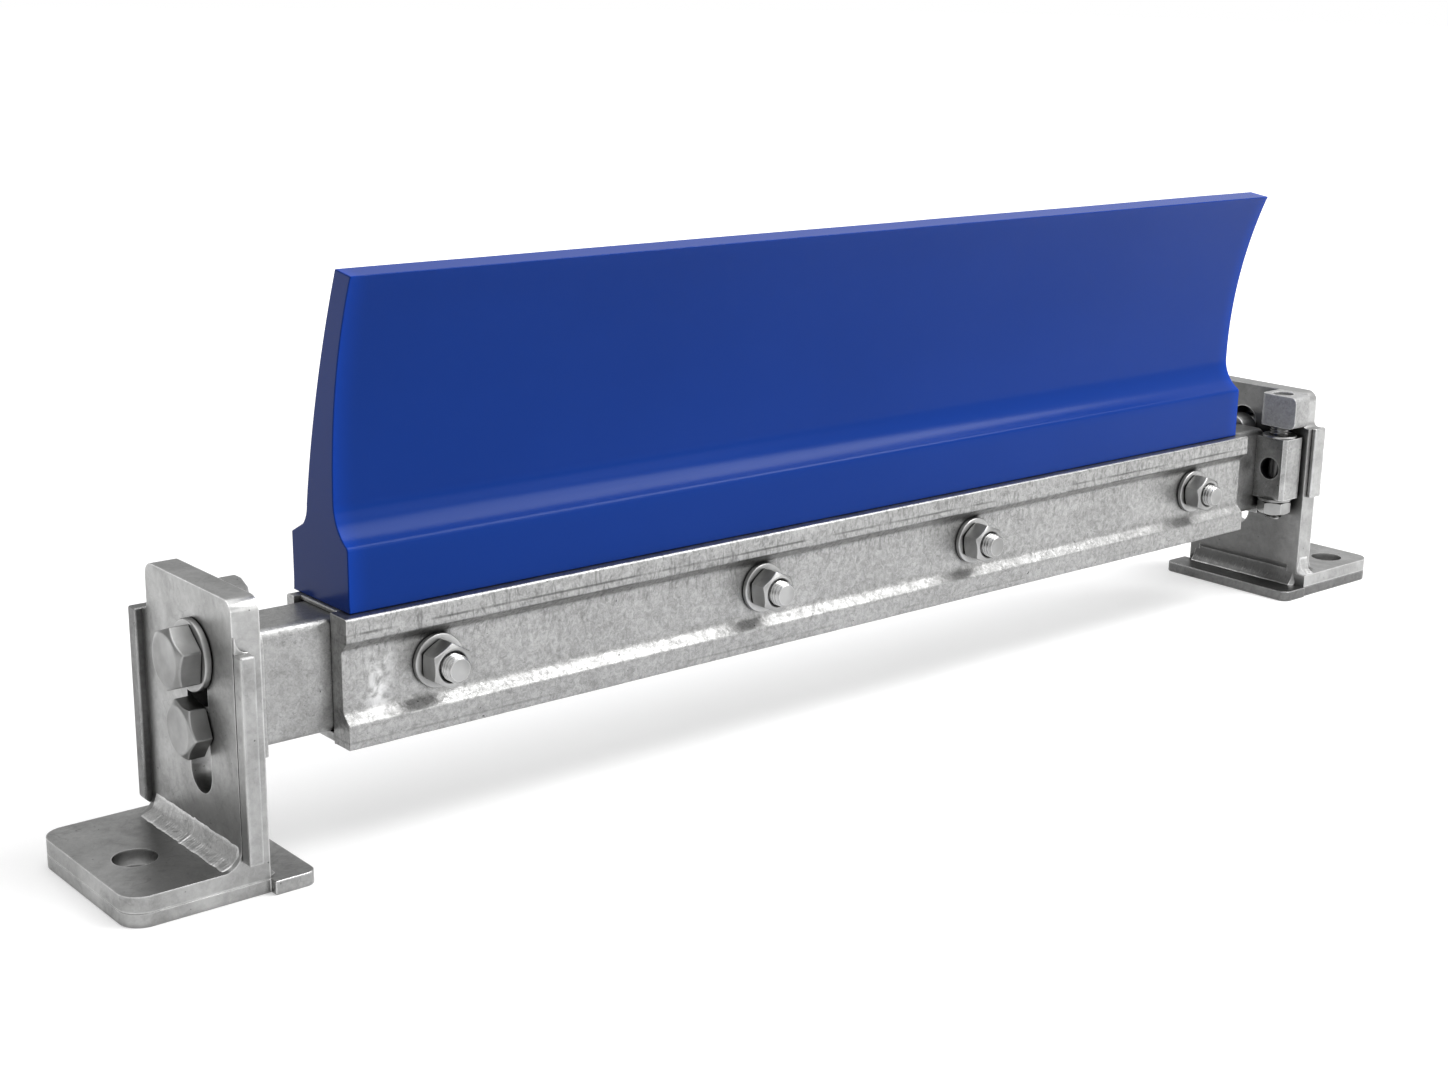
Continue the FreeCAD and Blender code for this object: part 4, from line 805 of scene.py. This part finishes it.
def make_bar():
    def uneven(x, y, z):
        if y > -16.0:
            return 0.0
        depth = 0.10 * wave(x, y, z, 26.0, 1.0) + 0.07 * wave(x, y, z, 9.0, 5.0)
        depth += peak(z, BAR_ROOT, 4.0) * 0.20 * wave(x, y, z, 4.6, 9.0)
        # a groove along the top lip, deeper here and there
        groove = peak(z, 95.2, 0.9) * max(0.0, 0.55 + wave(x, 0.0, 0.0, 40.0, 2.0))
        return min(0.0, depth - 0.20 - 0.35 * groove)

    piece = swept("rolled_front_bar", bar_section(), 300.0, 2.0, uneven, STEEL_SLOT, ROLLED, 40.0)
    rounded_edges(piece, 0.35, 2, 50.0)
    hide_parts("front_clamp_bar")


# On the brackets: the welds and two small forms. The left bracket is the right one turned half round
SIDES = (("right", 1.0, RIGHT_PLATE), ("left", -1.0, PLATE))
FOOT_TOP = 13.0
WELD_STEP = 0.4
WELD_POINTS = 12


def weld(name, start, end, leg_one, leg_two, seed, runs=1, hollow=0.35, ripple=1.5, material=WELD):
    """A fillet weld from start to end, with its legs on the two faces that meet in the corner.

    Its face is hollow, with a ripple every so many millimetres. It is thin at both ends, and a later run starts a
    little thicker.
    """
    start, end = Vector(start), Vector(end)
    one, two = Vector(leg_one), Vector(leg_two)
    root, outward = (one + two) * -0.12, (one + two).normalized()
    length = (end - start).length
    count = round(length / WELD_STEP)
    rings = []
    for k in range(count + 1):
        part = k / count
        place = part * length
        from_end = min(part, 1 - part) * length
        grown = min(1.0, 0.35 + from_end / 3.0) if from_end < 2.0 else 1.0
        if 0.0 < part * runs % 1.0 * (length / runs) < 2.0 and part > 0.05:
            grown *= 1.06
        wobble = 1.0 + 0.07 * wave(place, 0.0, 0.0, 9.0, seed) + 0.04 * wave(place, 0.0, 0.0, 3.0, seed)
        here = start.lerp(end, part)
        points = [here + root]
        for j in range(WELD_POINTS + 1):
            u = j / WELD_POINTS
            bow = 4 * u * (1 - u)
            flat = one * (1 - u) + two * u
            point = flat * (grown * wobble) * (1.0 - hollow * bow * 0.9)
            phase = (place / ripple - 0.55 * bow) % 1.0
            crest = (0.16 * math.sin(math.pi * phase) - 0.05) * (0.35 + 0.65 * bow)
            rough = 0.10 * wave(place, u * 8.0, 0.0, 1.7, seed + 4.0)
            point += outward * (crest + rough)
            points.append(here + point)
        rings.append([(x + MIDDLE, y, z) for x, y, z in points])
    form = Form()
    form.skin(rings)
    form.finish(name, "brackets", STEEL_SLOT, material, 60.0)


def make_cove(side, turn, plate):
    """Over the top of the flush strip, where the upright's outer corner runs down into it in a small curve."""
    outer, width, foot, height, tip = 356.8, 5.6, 101.8, 6.4, 0.35
    outline = [(outer, foot), (outer - width, foot)]
    for k in range(11):
        a = math.pi / 2 * k / 10
        outline.append((outer - width * (1 - math.sin(a)) - tip * math.sin(a),
                        foot + height * (1 - math.cos(a)) + tip))
    outline.append((outer, foot + height + tip))
    form = Form()
    form.turned(SHIFT, [[(turn * x, turn * y, z) for x, z in outline] for y in (40.6, 42.4)])
    piece = form.finish(side + "_strip_cove", "brackets", STEEL_SLOT, plate)
    rounded_edges(piece, 0.15, 2, 50.0)


def make_bracket_pieces():
    for side, turn, plate in SIDES:
        # the long fillet in the bend, laid in two runs
        weld(side + "_bend_weld", (turn * 357.0, turn * 40.0, FOOT_TOP), (turn * 357.0, turn * -36.6, FOOT_TOP),
             (0.0, 0.0, 8.6), (turn * 7.6, 0.0, 0.0), 3.0 + turn, runs=2, hollow=0.46)
        # the fillet that closes the slot under the bend, where the plate meets the base
        weld(side + "_slot_weld", (turn * 345.4, turn * -37.4, 6.0), (turn * 345.4, turn * 39.0, 6.0),
             (turn * 0.4, 0.0, 10.4), (turn * -4.4, 0.0, 0.0), 21.0 + turn, hollow=0.30, material=plate)
        # the short fillet between the upright's edge and the part of the foot in front of it
        weld(side + "_foot_weld", (turn * 345.6, turn * -38.0, FOOT_TOP), (turn * 356.6, turn * -38.0, FOOT_TOP),
             (0.0, 0.0, 9.5), (0.0, turn * -5.4, 0.0), 7.0 + turn, hollow=0.48, ripple=3.4)
        make_cove(side, turn, plate)
    # behind the lug
    weld("lug_weld_back", (345.0, -15.4, 105.0), (345.0, -15.4, 122.0), (0.0, 2.6, 0.0), (-2.6, 0.0, 0.0), 16.0)


def make_short_strip():
    """The right front strip as it is seen: it stands proud above and ends well over the foot."""
    corners = [Vector(corner) for corner in ((348.5, -37.8), (348.5, -40.8), (358.6, -40.8), (358.6, -37.8))]
    outline = []
    for k, corner in enumerate(corners):
        outline += line_points(corner, corners[(k + 1) % len(corners)], 1.6)
    rings = []
    for k in range(31):
        level = 60.0 + 1.4 * k
        ring = []
        for x, y in outline:
            # its front face is uneven
            dent = max(0.0, 0.2 * wave(x, y, level, 7.0, 21.0)) if y < -40.0 else 0.0
            ring.append((x, y + dent, level))
        rings.append(ring)
    form = Form()
    form.turned(SHIFT, rings)
    piece = form.finish("short_front_strip", "brackets", STEEL_SLOT, RIGHT_PLATE, 40.0)
    rounded_edges(piece, 0.8, 3, 40.0)
    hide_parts("right_front_strip")


# Stage
def make_floor():
    bpy.ops.mesh.primitive_plane_add(size=40.0, location=(0.0, 0.0, -0.02 * MM))
    floor = bpy.context.object
    floor.name = "floor"
    shader = Shader("floor_white")
    floor.data.materials.append(shader.set(base_color=(0.74, 0.74, 0.74), roughness=0.9, specular_ior_level=0.0))
    path = shader.add("ShaderNodeLightPath").outputs
    seen = shader.maths("MAXIMUM", path["Is Camera Ray"], path["Is Glossy Ray"])
    # far from the part the floor is as white as the backdrop
    far = shader.spread(shader.vector_maths("LENGTH", shader.place), 0.55, 1.6, 0.34, 1.0)
    glow = shader.add("ShaderNodeEmission", strength=shader.product(seen, far))
    both = shader.add("ShaderNodeAddShader")
    shader.feed(both.inputs[0], shader.surface.outputs["BSDF"])
    shader.feed(both.inputs[1], glow.outputs["Emission"])
    shader.feed(shader.nodes["Material Output"].inputs["Surface"], both.outputs["Shader"])


def lamp(name, place, aim, size, power):
    data = bpy.data.lights.new(name, "AREA")
    data.shape = "RECTANGLE"
    data.size, data.size_y = size
    data.energy = power
    light = bpy.data.objects.new(name, data)
    light.location = place
    light.rotation_mode = "QUATERNION"
    light.rotation_quaternion = (Vector(aim) - Vector(place)).to_track_quat("-Z", "Y")
    SCENE.collection.objects.link(light)


def make_light():
    lamp("soft_box", (0.72, -0.60, 1.32), (0.0, 0.0, 0.08), (1.1, 0.9), 22.0)
    lamp("top_light", (-0.4, 0.2, 1.9), (0.0, 0.0, 0.0), (2.3, 1.8), 16.0)
    lamp("front_light", (0.9, -2.2, 0.9), (0.0, 0.0, 0.1), (1.6, 0.9), 9.0)
    world = bpy.data.worlds.new("studio")
    SCENE.world = world
    world.use_nodes = True
    tree = Tree(world)
    path = tree.add("ShaderNodeLightPath").outputs
    seen = tree.maths("MAXIMUM", path["Is Camera Ray"], path["Is Transmission Ray"])
    # the backdrop that the metal shows is darker behind the part and to its left
    where = tree.add("ShaderNodeTexCoord").outputs["Generated"]
    slope = tree.vector_maths("DOT_PRODUCT", where, (0.35, -0.62, 0.70))
    mirrored = tree.product(path["Is Glossy Ray"], tree.spread(slope, -0.6, 0.8, 0.42, 1.0))
    fill = tree.maths("MAXIMUM", mirrored, 0.50)
    tree.feed_all(tree.nodes["Background"], {"color": (1.0, 1.0, 1.0), "strength": tree.maths("MAXIMUM", seen, fill)})


paint_nodes()
soften_nodes()
make_clamp_set()
make_slot_bolts()
make_screw()
make_blade()
make_bar()
make_bracket_pieces()
make_short_strip()
make_camera()
make_floor()
make_light()
SCENE.view_settings.view_transform = "Standard"
